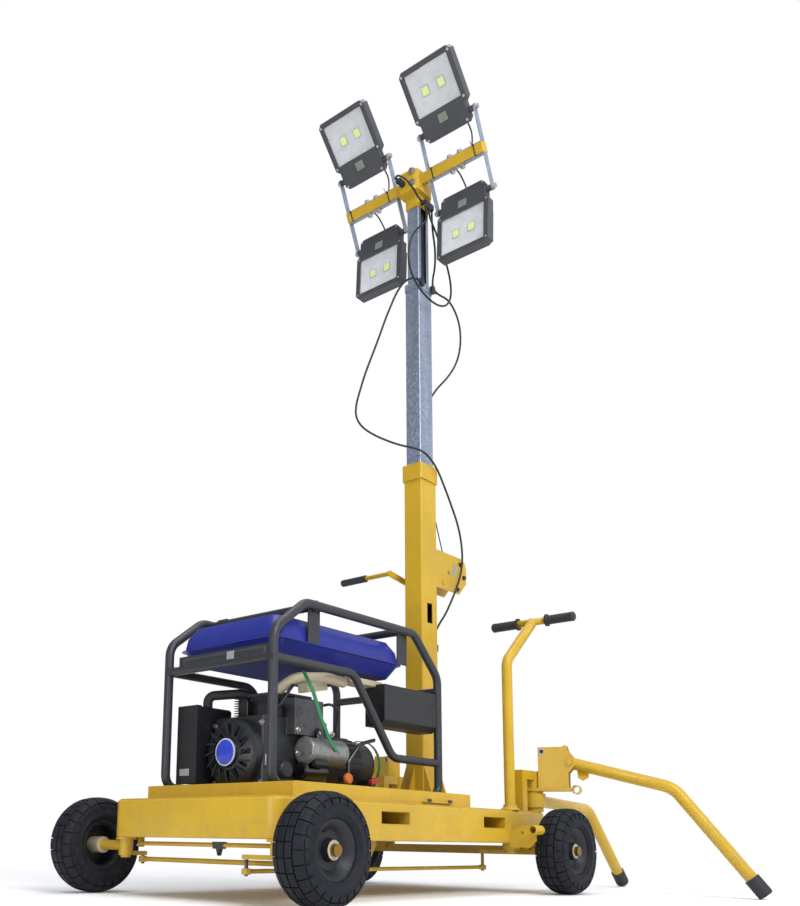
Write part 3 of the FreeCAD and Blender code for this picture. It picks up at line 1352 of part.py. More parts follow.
def cable(name, points):
    """Round cable along its corner points; each bend takes the room that its runs leave."""
    radii = []
    for before, corner, after in zip(points, points[1:], points[2:]):
        ahead = after.sub(corner)
        behind = corner.sub(before)
        half_turn = behind.getAngle(ahead) / 2
        radii.append(CABLE_BEND_SHARE * min(ahead.Length, behind.Length) / math.tan(half_turn))
    shape = bent_bar(points, radii, CABLE_DIAMETER)
    length = shape.Volume / (math.pi * (CABLE_DIAMETER / 2) ** 2)
    straight = sum(b.sub(a).Length for a, b in zip(points, points[1:]))
    print(name, "length", round(length), "of", round(straight), "smallest bend", round(min(radii), 1))
    print("bend radii", [round(r) for r in radii])
    return shape


def between(start, leave, rows, arrive, end):
    """Corner points: straight out, by rows of x and y from the mast and share of the height, straight in."""
    rise = end.z - start.z
    corners = [V(MAST_X + x, y, start.z + share * rise) for x, y, share in rows]
    return [start, start.add(leave)] + corners + [end.sub(arrive), end]


def mast_cable():
    """Cable from the low outlet over the collar and in a wide bow to the cap of stage one."""
    start = V(MAST_REAR_X - OUTLET_DEPTH / 2, LOW_OUTLET_Y, LOW_OUTLET_TOP)
    end = V(FRONT_CLIP_X + CLIP_LENGTH, CLIP_MIDDLE.y, CLIP_MIDDLE.z)
    rows = (
        (-78, 34, 0.0501),
        (-102, 58, 0.0824),
        (-148, 64, 0.13),
        (-199, 64, 0.1789),
        (-233, 64, 0.2332),
        (-230, 64, 0.2882),
        (-202, 64, 0.34),
        (-152, 64, 0.3858),
        (-96, 65, 0.4304),
        (-36, 67, 0.4713),
        (20, 66, 0.4933),
        (64, 57, 0.5055),
        (89, 24, 0.5147),
        (105, -20, 0.5244),
        (146, -60, 0.5348),
        (197, -99, 0.5482),
        (242, -132, 0.5665),
        (266, -150, 0.594),
        (265, -149, 0.63),
        (249, -139, 0.6728),
        (230, -123, 0.7265),
        (201, -107, 0.7814),
        (178, -86, 0.8364),
        (156, -72, 0.8852),
        (138, -54, 0.9267),
        (124, -36, 0.9621),
        (112, -10, 0.989),
        (104, 24, 1),
    )
    return cable("mast cable", between(start, V(0, 0, CABLE_LEAD_OUT), rows, V(-CLIP_LEAD_IN, 0, 0), end))


def rear_cable():
    """Cable from the high outlet up behind stage one and round to the rear of its cap."""
    start = V(MAST_REAR_X - OUTLET_DEPTH / 2, HIGH_OUTLET_Y, HIGH_OUTLET_TOP)
    end = V(REAR_CLIP_X, CLIP_MIDDLE.y, CLIP_MIDDLE.z)
    rows = (
        (-78, -17, 0.1861),
        (-82, -22, 0.2945),
        (-79, -18, 0.3988),
        (-83, -3, 0.4857),
        (-103, 28, 0.5419),
        (-141, 52, 0.593),
        (-191, 61, 0.6626),
        (-234, 61, 0.7413),
        (-255, 61, 0.8282),
        (-247, 61, 0.91),
        (-208, 60, 0.9693),
        (-154, 57, 1.002),
    )
    out = V(0, 0, 2 * CABLE_LEAD_OUT)
    return cable("rear cable", between(start, out, rows, V(1.4 * CLIP_LEAD_IN, 0, 0), end))


def link_cable():
    """Cable from the cap of stage one up to the junction on the head sleeve."""
    start = V(REAR_CLIP_X + CLIP_LENGTH / 2, CLIP_MIDDLE.y, CLIP_Z[1])
    end = junction_outlet(-1)
    rows = (
        (-58, 50, 0.2353),
        (-64, 51, 0.3957),
        (-60, 52, 0.5668),
        (-42, 53, 0.7273),
    )
    return cable("link cable", between(start, V(0, 0, CABLE_LEAD_OUT), rows, V(0, 0, CABLE_LEAD_OUT), end))


def junction_outlet(place):
    """Outlet in the underside of the junction, counted from its middle."""
    x = JUNCTION_FRONT - JUNCTION_LENGTH / 2 + place * JUNCTION_OUTLET_PITCH
    return V(x, JUNCTION_OUTLET_Y, JUNCTION_BOTTOM)


def head_cable():
    """Cable from the gland of the head to the junction, and the slack loop below it."""
    front = V(JUNCTION_FRONT, SLEEVE_SIDE + JUNCTION_DEPTH / 2, JUNCTION_BOTTOM + JUNCTION_HEIGHT / 2)
    # x, y and z from the seat in the front face of the junction
    rows = (
        (143, -52.5, 81),
        (143, -22.5, 63),
        (119, 1.5, 39),
        (75, 7.5, 15),
    )
    corners = [front.add(V(*row)) for row in rows]
    out = V(GLAND_LEAD_OUT, 0, 0)
    last = [front.add(V(CLIP_LEAD_IN, 0, 0)), front]
    lead = cable("head lead", [HEAD_GLAND, HEAD_GLAND.add(out)] + corners + last)
    start = junction_outlet(1)
    end = junction_outlet(0)
    # x, y and z from the outlet where the loop starts
    rows = (
        (8, 9.5, -76),
        (44, 16.5, -122),
        (100, 17.5, -174),
        (149, 17.5, -246),
        (172, 17.5, -330),
        (158, 17.5, -402),
        (112, 17.5, -448),
        (51, 17.5, -472),
        (-16, 17.5, -481),
        (-81, 17.5, -472),
        (-135, 17.5, -442),
        (-168, 17.5, -390),
        (-170, 17.5, -322),
        (-144, 17.5, -252),
        (-106, 16.5, -186),
        (-68, 12.5, -124),
        (-34, 7.5, -74),
    )
    corners = [start.add(V(*row)) for row in rows]
    down = V(0, 0, -CABLE_LEAD_OUT)
    loop = cable("head loop", [start, start.add(down)] + corners + [end.add(down), end])
    return group([lead, loop])


# Floodlights
def lamp_pivot(upper):
    """Middle of a lamp's pivot line, at the end of its bracket arms."""
    lean = math.radians(CROSSBAR_LEAN)
    turn = 1 if upper else -1
    reach = turn * BRACKET_REACH
    return V(BAR_X + reach * math.sin(lean), 0, BAR_Z + reach * math.cos(lean))


def lamp_place(shape, upper, side):
    """Puts a lamp, drawn upright with its pivot at the origin, onto its bracket."""
    if not upper:
        shape.rotate(V(0, 0, 0), V(1, 0, 0), 180)
    tilt = UPPER_LAMP_TILT if upper else LOWER_LAMP_TILT
    shape.rotate(V(0, 0, 0), V(0, 1, 0), tilt)
    shape.translate(lamp_pivot(upper).add(V(0, side * LAMP_PITCH / 2, 0)))
    return shape


def lamp_outline(x, grow):
    """Front outline of a lamp: wide glass part above the narrower driver part."""
    wide = LAMP_WIDTH / 2 - grow
    narrow = LAMP_DRIVER_WIDTH / 2 - grow
    shoulder = 0.0
    top = LAMP_GLASS_PART - grow
    low = -LAMP_DRIVER_PART + grow
    c = LAMP_CORNER
    points = (
        (-wide, shoulder), (-wide, top - c), (c - wide, top),
        (wide - c, top), (wide, top - c), (wide, shoulder),
        (narrow, shoulder - c), (narrow, low + c), (narrow - c, low), (c - narrow, low), (-narrow, low + c),
        (-narrow, shoulder - c),
    )
    return [V(x, y, z) for y, z in points]


def lamp_housing(upper, side):
    """Die-cast body with a glass recess, cooling fins behind and an ear at each side."""
    back = -LAMP_DEPTH / 2
    shift = LAMP_PIVOT_DROP
    body = plate(lamp_outline(back, 0), V(LAMP_DEPTH, 0, 0))
    half = LAMP_WIDTH / 2 - LAMP_BEZEL
    z = (LAMP_BEZEL * 0.6, LAMP_GLASS_PART - LAMP_BEZEL)
    front = LAMP_DEPTH / 2
    recess = box((front - LAMP_RECESS, front), (-half, half), z)
    pieces = [body.cut(recess)]
    step = (LAMP_WIDTH - 2 * LAMP_CORNER) / (LAMP_FINS - 1)
    for fin in range(LAMP_FINS):
        y = LAMP_CORNER - LAMP_WIDTH / 2 + fin * step
        y0 = y - LAMP_FIN_THICKNESS / 2
        edge = back - LAMP_FIN_DEPTH
        top = LAMP_GLASS_PART - LAMP_FIN_MARGIN
        slant = LAMP_FIN_SLANT
        low = LAMP_FIN_MARGIN
        corners = ((low, back + 1), (top, back + 1), (top - slant, edge), (low + slant, edge))
        pieces.append(plate([V(x, y0, h) for h, x in corners], V(0, LAMP_FIN_THICKNESS, 0)))
    driver = LAMP_DRIVER_WIDTH / 2 - LAMP_DRIVER_MARGIN
    z = (LAMP_DRIVER_MARGIN - LAMP_DRIVER_PART, -LAMP_DRIVER_MARGIN)
    pieces.append(box((back - LAMP_FIN_DEPTH * 0.8, back + 1), (-driver, driver), z))
    housing = joined(pieces)
    housing.translate(V(0, 0, shift))
    inner = LAMP_DRIVER_WIDTH / 2 - 2
    outer = LAMP_WIDTH / 2 + LAMP_SIDE_GAP
    ears = [rod(V(0, turn * inner, 0), V(0, turn * outer, 0), LAMP_EAR_DIAMETER * 0.6) for turn in (1, -1)]
    end = outer + BRACKET_THICKNESS + BRACKET_WASHER + LAMP_PIN_END
    pins = [rod(V(0, turn * outer, 0), V(0, turn * end, 0), LAMP_PIVOT_DIAMETER) for turn in (1, -1)]
    return lamp_place(joined([housing] + ears + pins), upper, side)


def lamp_glass(upper, side):
    """Flat toughened pane in the recess of a lamp."""
    clear = 0.3
    half = LAMP_WIDTH / 2 - LAMP_BEZEL - clear
    front = LAMP_DEPTH / 2 - 2
    z = (LAMP_BEZEL * 0.6 + clear + LAMP_PIVOT_DROP, LAMP_GLASS_PART - LAMP_BEZEL - clear + LAMP_PIVOT_DROP)
    return lamp_place(box((front - LAMP_GLASS_THICKNESS, front), (-half, half), z), upper, side)


def lamp_brackets():
    """Four U-shaped straps: base flat on the crossbar, arms out to the lamp pivots."""
    straps = []
    inner = LAMP_WIDTH / 2 + LAMP_SIDE_GAP + BRACKET_WASHER
    outer = inner + BRACKET_THICKNESS
    half = BRACKET_STRAP / 2
    bar = CROSSBAR_SECTION / 2
    bore = LAMP_PIVOT_DIAMETER / 2 + BRACKET_WASHER
    for upper in (True, False):
        for side in (1, -1):
            base = box((-half, half), (-outer, outer), (bar, bar + BRACKET_THICKNESS))
            pieces = [base]
            for turn in (1, -1):
                y = (inner, outer) if turn > 0 else (-outer, -inner)
                arm = box((-half, half), y, (bar, BRACKET_REACH))
                end = rod(V(0, y[0], BRACKET_REACH), V(0, y[1], BRACKET_REACH), BRACKET_STRAP)
                pieces.append(arm.fuse(end))
            strap = joined(pieces)
            strap = strap.cut(rod(V(0, -outer, BRACKET_REACH), V(0, outer, BRACKET_REACH), 2 * bore))
            turn = CROSSBAR_LEAN if upper else CROSSBAR_LEAN + 180
            strap.rotate(V(0, 0, 0), V(0, 1, 0), turn)
            strap.translate(V(BAR_X, side * LAMP_PITCH / 2, BAR_Z))
            straps.append(strap)
    return group(straps)


# Winch
def winch_axes():
    """Centre lines of the drum and of the crank shaft."""
    drum = V(MAST_REAR_X - WINCH_SHAFT_REACH, 0, WINCH_CENTRE_Z)
    crank = drum.add(V(CRANK_SHAFT_SET_BACK, 0, CRANK_SHAFT_RISE))
    return drum, crank


def winch_frame():
    """Two side plates with a round upper corner, joined by a back plate on the mast."""
    drum, crank = winch_axes()
    front = MAST_REAR_X
    rear = front - WINCH_PLATE_LENGTH
    low = WINCH_CENTRE_Z - WINCH_PLATE_HEIGHT / 2
    top = low + WINCH_PLATE_HEIGHT
    r = WINCH_PLATE_RADIUS
    c = WINCH_PLATE_CORNER
    gap = WINCH_PLATE_GAP / 2
    t = WINCH_PLATE_THICKNESS
    pieces = [box((front - t, front), (-gap - t, gap + t), (low, top))]
    for turn in (1, -1):
        y = gap if turn > 0 else -gap - t
        corners = (
            (front, top), (rear + r, top), (rear, top - r), (rear, low + c), (rear + c, low), (front, low),
        )
        points = [V(x, y, z) for x, z in corners]
        middle = V(rear + r * (1 - math.sqrt(0.5)), y, top - r * (1 - math.sqrt(0.5)))
        edges = [Part.Arc(points[1], middle, points[2]).toShape()]
        edges.extend(Part.LineSegment(a, b).toShape() for a, b in zip(points[2:], points[3:] + points[:1]))
        edges.append(Part.LineSegment(points[0], points[1]).toShape())
        pieces.append(Part.Face(Part.Wire(edges)).extrude(V(0, t, 0)))
    x = rear + WINCH_SPACER_INSET
    z = WINCH_CENTRE_Z
    pieces.append(rod(V(x, -gap - 1, z), V(x, gap + 1, z), WINCH_SPACER_DIAMETER))
    frame = joined(pieces)
    wide = gap + t
    bore = WINCH_SHAFT_DIAMETER + 2 * KINGPIN_CLEARANCE
    for centre in (drum, crank):
        hole = rod(V(centre.x, -wide, centre.z), V(centre.x, wide, centre.z), bore)
        frame = frame.cut(hole)
    return frame


def winch_drum():
    """Flanged drum on its shaft, with the wound rope as a plain cylinder."""
    drum, crank = winch_axes()
    half = WINCH_PLATE_GAP / 2 - DRUM_SIDE_CLEARANCE
    wide = WINCH_PLATE_GAP / 2 + WINCH_PLATE_THICKNESS + WINCH_SHAFT_END
    f = DRUM_FLANGE_THICKNESS
    shaft = WINCH_SHAFT_DIAMETER / 2
    flange = DRUM_FLANGE_DIAMETER / 2
    wound = ROPE_WIND_DIAMETER / 2
    outline = (
        (-wide, 0), (-wide, shaft), (-half, shaft), (-half, flange), (f - half, flange), (f - half, wound),
        (half - f, wound), (half - f, flange), (half, flange), (half, shaft), (wide, shaft), (wide, 0),
    )
    return turned(outline, drum, V(0, 1, 0))


def crank_points():
    """Shaft end, arm end and grip end of the crank, on the far side of the mast."""
    drum, crank = winch_axes()
    arm_y = -(WINCH_PLATE_GAP / 2 + WINCH_PLATE_THICKNESS + CRANK_SHAFT_REACH)
    turn = math.radians(CRANK_TURN)
    tip = V(crank.x + CRANK_ARM_LENGTH * math.cos(turn), arm_y, crank.z + CRANK_ARM_LENGTH * math.sin(turn))
    return V(crank.x, arm_y, crank.z), tip, V(tip.x, arm_y - CRANK_HANDLE_LENGTH, tip.z)


def winch_crank():
    """Pinion shaft, flat arm and handle rod of the crank."""
    root, tip, end = crank_points()
    wide = WINCH_PLATE_GAP / 2 + WINCH_PLATE_THICKNESS + WINCH_SHAFT_END
    shaft = rod(V(root.x, wide, root.z), V(root.x, root.y - 6, root.z), WINCH_SHAFT_DIAMETER)
    t = CRANK_ARM_THICKNESS
    arm = box((0, CRANK_ARM_LENGTH), (-t / 2, t / 2), (-CRANK_ARM_WIDTH / 2, CRANK_ARM_WIDTH / 2))
    arm.rotate(V(0, 0, 0), V(0, 1, 0), -CRANK_TURN)
    arm.translate(root)
    ends = [rod(V(p.x, p.y - t / 2, p.z), V(p.x, p.y + t / 2, p.z), CRANK_ARM_WIDTH) for p in (root, tip)]
    handle = rod(V(tip.x, tip.y, tip.z), end, CRANK_HANDLE_DIAMETER)
    return joined([shaft, arm, handle] + ends)


def winch_grip():
    """Black sleeve over the outer part of the crank handle."""
    root, tip, end = crank_points()
    bore = CRANK_HANDLE_DIAMETER / 2 + GRIP_BORE_CLEARANCE
    r = CRANK_GRIP_DIAMETER / 2
    n = CRANK_GRIP_LENGTH
    e = CRANK_GRIP_END
    outline = (
        (0, bore), (0, r - e), (3 * e, r), (n * 0.55, r - e / 2), (n - 2 * e, r),
        (n + e, r - 1.5 * e), (n + e, 0), (n, 0), (n, bore),
    )
    start = V(end.x, end.y + n, end.z)
    return turned(outline, start, V(0, -1, 0))


# Generator
GEN_Y = (GEN_OFFSET_Y - GEN_WIDTH / 2, GEN_OFFSET_Y + GEN_WIDTH / 2)
GEN_RAIL_Z = TRAY_FLOOR + GEN_FOOT_HEIGHT + GEN_TUBE / 2
GEN_FLOOR = GEN_RAIL_Z + GEN_TUBE / 2
ENGINE_FRONT = GEN_FRONT_X - ENGINE_FRONT_SET_BACK
ENGINE_REAR = ENGINE_FRONT - ENGINE_LENGTH


def generator_side(y):
    """One side hoop of the generator frame with its curved middle rail."""
    r = GEN_TUBE / 2
    front = GEN_FRONT_X - r
    rear = GEN_REAR_X + r
    hoop = [
        V((front + rear) / 2, y, GEN_RAIL_Z),
        V(front, y, GEN_RAIL_Z),
        V(front, y, GEN_FRONT_SHOULDER_Z),
        V(front - GEN_FRONT_SHOULDER_X, y, GEN_TOP_Z),
        V(rear + GEN_REAR_SHOULDER_X, y, GEN_TOP_Z),
        V(rear, y, GEN_REAR_SHOULDER_Z),
        V(rear, y, GEN_RAIL_Z),
        V((front + rear) / 2, y, GEN_RAIL_Z),
    ]
    mid = [
        V(front, y, GEN_MID_RAIL_Z),
        V(front - GEN_MID_RAIL_END, y, GEN_MID_RAIL_Z),
        V(front - GEN_LOW_RAIL_START, y, GEN_LOW_RAIL_Z),
        V(rear, y, GEN_LOW_RAIL_Z),
    ]
    bends = [GEN_FOOT_BEND, GEN_BEND, GEN_BEND, GEN_BEND, GEN_BEND, GEN_FOOT_BEND]
    return [bent_bar(hoop, bends, GEN_TUBE), bent_bar(mid, [GEN_BEND, GEN_BEND], GEN_INNER_TUBE)]


def generator_frame():
    """Black tube frame with cross tubes, two floor channels and four rubber feet."""
    r = GEN_TUBE / 2
    y0 = GEN_Y[0] + r
    y1 = GEN_Y[1] - r
    front = GEN_FRONT_X - r
    rear = GEN_REAR_X + r
    pieces = generator_side(y0) + generator_side(y1)
    # x and z of the tubes that join both sides
    crosses = (
        (front, GEN_MID_RAIL_Z),
        (rear, GEN_MID_RAIL_Z),
        (front - GEN_FRONT_SHOULDER_X - GEN_TOP_CROSS_INSET, GEN_TOP_Z),
        (rear + GEN_REAR_SHOULDER_X + GEN_TOP_CROSS_INSET, GEN_TOP_Z),
    )
    for x, z in crosses:
        pieces.append(rod(V(x, y0, z), V(x, y1, z), GEN_INNER_TUBE))
    for x in (front - GEN_FRONT_CROSS_SET_BACK, rear + GEN_REAR_CROSS_SET_BACK):
        half = GEN_CROSS_WIDTH / 2
        pieces.append(box((x - half, x + half), (y0, y1), (GEN_FLOOR - GEN_CROSS_HEIGHT, GEN_FLOOR)))
        for y in (y0, y1):
            pieces.append(rod(V(x, y, TRAY_FLOOR), V(x, y, GEN_RAIL_Z), GEN_FOOT_DIAMETER))
    xs = (front + r * 0.4 - GEN_PLATE_THICKNESS, front + r * 0.4)
    pieces.append(box(xs, (y0 + GEN_PLATE_INSET, y1), (GEN_MID_RAIL_Z, GEN_MID_RAIL_Z + GEN_PLATE_HEIGHT)))
    return joined(pieces + tank_straps(front, rear))


def tank_straps(front, rear):
    """Four flat straps from the top rails down onto the flange of the tank."""
    low = TANK_BOTTOM_Z + TANK_SEAM_HEIGHT + TANK_FLANGE_THICKNESS / 2
    edge = TANK_WIDTH / 2 + TANK_FLANGE - 1
    straps = []
    for x in (front - GEN_FRONT_SHOULDER_X - TANK_STRAP_WIDTH, rear + GEN_REAR_SHOULDER_X + TANK_STRAP_WIDTH):
        xs = (x - TANK_STRAP_WIDTH / 2, x + TANK_STRAP_WIDTH / 2)
        for side in (1, -1):
            y = GEN_OFFSET_Y + side * edge
            pair = (y - TANK_STRAP_THICKNESS, y) if side > 0 else (y, y + TANK_STRAP_THICKNESS)
            straps.append(box(xs, pair, (low, GEN_TOP_Z)))
    return straps


def fuel_tank():
    """Pressed tank: two tapered halves on a flat seam flange, with its cap."""
    x1 = GEN_FRONT_X - GEN_TUBE - TANK_FRONT_GAP
    x0 = x1 - TANK_LENGTH
    mid_y = GEN_OFFSET_Y
    half = TANK_WIDTH / 2
    seam = TANK_BOTTOM_Z + TANK_SEAM_HEIGHT
    top = TANK_BOTTOM_Z + TANK_HEIGHT

    def ring(inset, z):
        xs = (x0 + inset, x1 - inset)
        ys = (mid_y - half + inset, mid_y + half - inset)
        return rounded_rectangle(xs, ys, TANK_CORNER - inset * 0.3, z).OuterWire

    edge = ring(TANK_EDGE_INSET, top - TANK_EDGE_DROP)
    lower = Part.makeLoft([ring(TANK_SLOPE, TANK_BOTTOM_Z), ring(0, seam)], True)
    upper = Part.makeLoft([ring(0, seam), edge, ring(TANK_SLOPE, top)], True, True)
    f = TANK_FLANGE
    flange = rounded_box(
        (x0 - f, x1 + f), (mid_y - half - f, mid_y + half + f),
        (seam - TANK_FLANGE_THICKNESS / 2, seam + TANK_FLANGE_THICKNESS / 2), TANK_CORNER + f / 2,
    )
    cap_x = x1 - TANK_CAP_SET_BACK
    cap = rod(V(cap_x, mid_y, top - 2), V(cap_x, mid_y, top + TANK_CAP_HEIGHT), TANK_CAP_DIAMETER)
    return joined([lower, upper, flange, cap])


def engine_block():
    """Engine as one mass: crankcase, fan shroud, cylinder head and its shaft end."""
    y = GEN_OFFSET_Y
    half = ENGINE_WIDTH / 2
    low = GEN_FLOOR
    top = low + ENGINE_HEIGHT
    body = rounded_box((ENGINE_REAR, ENGINE_FRONT), (y - half, y + half), (low, top), ENGINE_CORNER)
    xs = (ENGINE_REAR + HEAD_REAR_INSET, ENGINE_FRONT - HEAD_FRONT_INSET)
    ys = (y - half + HEAD_SIDE_INSET, y + half - HEAD_SIDE_INSET)
    head = box(xs, ys, (top - 1, top + CYLINDER_HEAD_HEIGHT))
    xs = (xs[0] + VALVE_BOX_INSET, xs[1] - VALVE_BOX_INSET)
    ys = (ys[1] - 1, y + half + VALVE_BOX_REACH)
    valve = box(xs, ys, (top - VALVE_BOX_DROP, top + CYLINDER_HEAD_HEIGHT - VALVE_BOX_TOP_GAP))
    return joined([body, head, valve])


def recoil_cover():
    """Round fan cover on the front of the engine, with radial louvres and a plain disc."""
    centre = V(ENGINE_FRONT, GEN_OFFSET_Y, ENGINE_SHAFT_Z)
    r = COVER_DIAMETER / 2
    d = COVER_DEPTH
    disc = COVER_DISC_DIAMETER / 2
    shoulder = (d * 0.8, r - COVER_SHOULDER)
    outline = ((0, 0), (0, r), (d * 0.55, r), shoulder, (d * 0.92, disc + 8), (d, disc), (d, 0))
    cover = turned(outline, centre, V(1, 0, 0))
    wide = COVER_SLOT_WIDTH / 2
    slots = []
    for place in range(COVER_SLOTS):
        slot = box((d * 0.62, d + 2), (-wide, wide), (disc + COVER_SHOULDER, r - 1.5 * COVER_SHOULDER))
        slot.rotate(V(0, 0, 0), V(1, 0, 0), place * 360.0 / COVER_SLOTS)
        slot.translate(centre)
        slots.append(slot)
    return cover.cut(group(slots))


def air_filter_box():
    """Upright black box at the far front corner of the generator."""
    x1 = GEN_FRONT_X - GEN_TUBE - AIR_BOX_GAP
    y0 = GEN_Y[0] + GEN_TUBE + AIR_BOX_GAP
    z = (GEN_FLOOR, GEN_FLOOR + AIR_BOX_HEIGHT)
    block = rounded_box((x1 - AIR_BOX_LENGTH, x1), (y0, y0 + AIR_BOX_WIDTH), z, AIR_BOX_CORNER)
    top = [e for e in block.Edges if e.BoundBox.ZMin > GEN_FLOOR + AIR_BOX_HEIGHT - 0.01]
    return block.makeChamfer(AIR_BOX_CORNER / 2, top)


def muffler():
    """Cylindrical silencer on the near side of the engine, on a short pipe."""
    y = GEN_OFFSET_Y + ENGINE_WIDTH / 2 + MUFFLER_DIAMETER / 2 + MUFFLER_SIDE_GAP
    z = GEN_FLOOR + ENGINE_HEIGHT - MUFFLER_DIAMETER / 2 - MUFFLER_DROP
    start = V(MUFFLER_X, y, z)
    can = rod(start, start.add(V(MUFFLER_LENGTH, 0, 0)), MUFFLER_DIAMETER)
    ends = [e for e in can.Edges if isinstance(e.Curve, Part.Circle)]
    can = can.makeFillet(MUFFLER_EDGE, ends)
    x = MUFFLER_X + MUFFLER_LENGTH * 0.6
    start = V(x, y - MUFFLER_DIAMETER / 2 - MUFFLER_SIDE_GAP, z)
    pipe_in = rod(start, V(x, y, z), EXHAUST_PIPE_DIAMETER)
    return joined([can, pipe_in])


def alternator():
    """Round alternator behind the engine, with its end bell and feet."""
    centre = V(ENGINE_REAR, GEN_OFFSET_Y, ENGINE_SHAFT_Z)
    r = ALTERNATOR_DIAMETER / 2
    n = ALTERNATOR_LENGTH
    step = r - ALTERNATOR_STEP
    outline = (
        (0, 0), (0, r - 26), (22, r), (n * 0.66, r), (n * 0.68, step), (n * 0.9, step), (n, step - 32), (n, 0),
    )
    body = turned(outline, centre, V(-1, 0, 0))
    x = GEN_REAR_X + GEN_TUBE / 2 + GEN_REAR_CROSS_SET_BACK
    reach = ALTERNATOR_FOOT_WIDTH / 2
    ys = (GEN_OFFSET_Y - reach, GEN_OFFSET_Y + reach)
    half = ALTERNATOR_FOOT_LENGTH / 2
    low = box((x - half, x + half), ys, (GEN_FLOOR, ENGINE_SHAFT_Z - r * 0.6))
    return joined([body, low])


def control_panel():
    """Box with a bare sloping face between the rails of the near side."""
    y1 = GEN_Y[1] - GEN_TUBE * 0.25
    x0 = GEN_REAR_X + GEN_TUBE
    x1 = x0 + PANEL_LENGTH
    low = PANEL_BOTTOM_Z
    top = low + PANEL_HEIGHT
    c = PANEL_CORNER
    outline = ((y1 - PANEL_DEPTH, low), (y1 - c, low), (y1, low + c), (y1, top), (y1 - PANEL_DEPTH, top))
    return plate([V(x0, y, z) for y, z in outline], V(x1 - x0, 0, 0))


def build():
    """Every piece by node name."""
    # name, x, y, side of the four wheels
    wheels = (
        ("front_near", FRONT_AXLE_X, HALF_TRACK, 1),
        ("front_far", FRONT_AXLE_X, -HALF_TRACK, -1),
        ("rear_near", REAR_AXLE_X, HALF_TRACK, 1),
        ("rear_far", REAR_AXLE_X, -HALF_TRACK, -1),
    )
    # name, upper row, side of the four lamps
    lamps = (
        ("upper_near", True, 1),
        ("upper_far", True, -1),
        ("lower_near", False, 1),
        ("lower_far", False, -1),
    )
    nodes = {
        "chassis_frame": chassis_frame(),
        "fork_pockets": group([fork_pockets(), guide_plate()]),
        "deck_plate": deck_plate(),
        "generator_tray": generator_tray(),
        "rear_axle": rear_axle(),
        "knuckle_near": knuckle(1),
        "knuckle_far": knuckle(-1),
        "tie_rod": tie_rod(),
        "drag_rod": drag_rod(),
        "front_cross_rod": front_cross_rod(),
        "steering_column": steering_column(),
        "steering_grips": steering_grips(),
        "corner_posts": corner_posts(),
        "leg_brackets": leg_brackets(),
        "side_leg_near": side_leg(1),
        "side_leg_far": side_leg(-1),
        "rear_leg": rear_leg(),
        "side_foot_near": side_foot(1),
        "side_foot_far": side_foot(-1),
        "rear_foot": rear_foot(),
        "mast_base": mast_base(),
        "mast_outer": mast_outer(),
        "mast_collar": mast_collar(),
        "mast_stage_1": mast_stage_1(),
        "mast_stage_2": mast_stage_2(),
        "head_block": head_block(),
        "crossbar": crossbar(),
        "lamp_brackets": lamp_brackets(),
        "mast_cable": mast_cable(),
        "rear_cable": rear_cable(),
        "link_cable": link_cable(),
        "head_cable": head_cable(),
        "winch_frame": winch_frame(),
        "winch_drum": winch_drum(),
        "winch_crank": winch_crank(),
        "winch_grip": winch_grip(),
        "generator_frame": generator_frame(),
        "fuel_tank": fuel_tank(),
        "engine_block": engine_block(),
        "recoil_cover": recoil_cover(),
        "air_filter_box": air_filter_box(),
        "muffler": muffler(),
        "alternator": alternator(),
        "control_panel": control_panel(),
    }
    for name, x, y, side in wheels:
        nodes["tyre_" + name] = tyre(x, y)
        nodes["rim_" + name] = rim(x, y, side)
    for name, upper, side in lamps:
        nodes["lamp_housing_" + name] = lamp_housing(upper, side)
        nodes["lamp_glass_" + name] = lamp_glass(upper, side)
    return nodes


def place(nodes):
    """Moves every piece so that the origin is below the middle of the whole machine."""
    whole = group(list(nodes.values())).BoundBox
    shift = V(-round((whole.XMin + whole.XMax) / 2), 0, 0)
    print("origin shift", shift.x)
    for shape in nodes.values():
        shape.translate(shift)
    return nodes


os.makedirs("parts", exist_ok=True)
for node, shape in place(build()).items():
    shape.exportStep("parts/" + node + ".step")
    print(node, len(shape.Solids), shape.isValid(), round(shape.Volume / 1000, 1))
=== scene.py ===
import json
import math

import bmesh
import bpy
from bpy.props import FloatProperty, FloatVectorProperty, IntProperty, PointerProperty
from bpy.types import Operator, Panel, PropertyGroup
from mathutils import Matrix, Vector


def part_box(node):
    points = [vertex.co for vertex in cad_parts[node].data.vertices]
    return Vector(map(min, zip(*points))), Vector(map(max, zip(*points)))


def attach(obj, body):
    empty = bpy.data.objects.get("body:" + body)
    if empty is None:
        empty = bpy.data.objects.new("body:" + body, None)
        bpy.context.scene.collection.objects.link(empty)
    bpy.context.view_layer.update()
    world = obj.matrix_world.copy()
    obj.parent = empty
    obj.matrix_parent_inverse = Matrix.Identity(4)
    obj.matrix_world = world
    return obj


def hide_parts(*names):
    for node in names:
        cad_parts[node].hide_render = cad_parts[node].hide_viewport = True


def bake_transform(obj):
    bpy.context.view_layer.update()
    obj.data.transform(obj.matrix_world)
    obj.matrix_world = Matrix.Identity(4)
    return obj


bl_info = {
    "name": "Mobile Light Tower",
    "version": (1, 0, 0),
    "blender": (4, 5, 0),
    "location": "View3D > Sidebar > Light Tower",
    "description": "Builds the looks of a hand-pushed light tower round its CAD frame",
    "category": "Object",
}

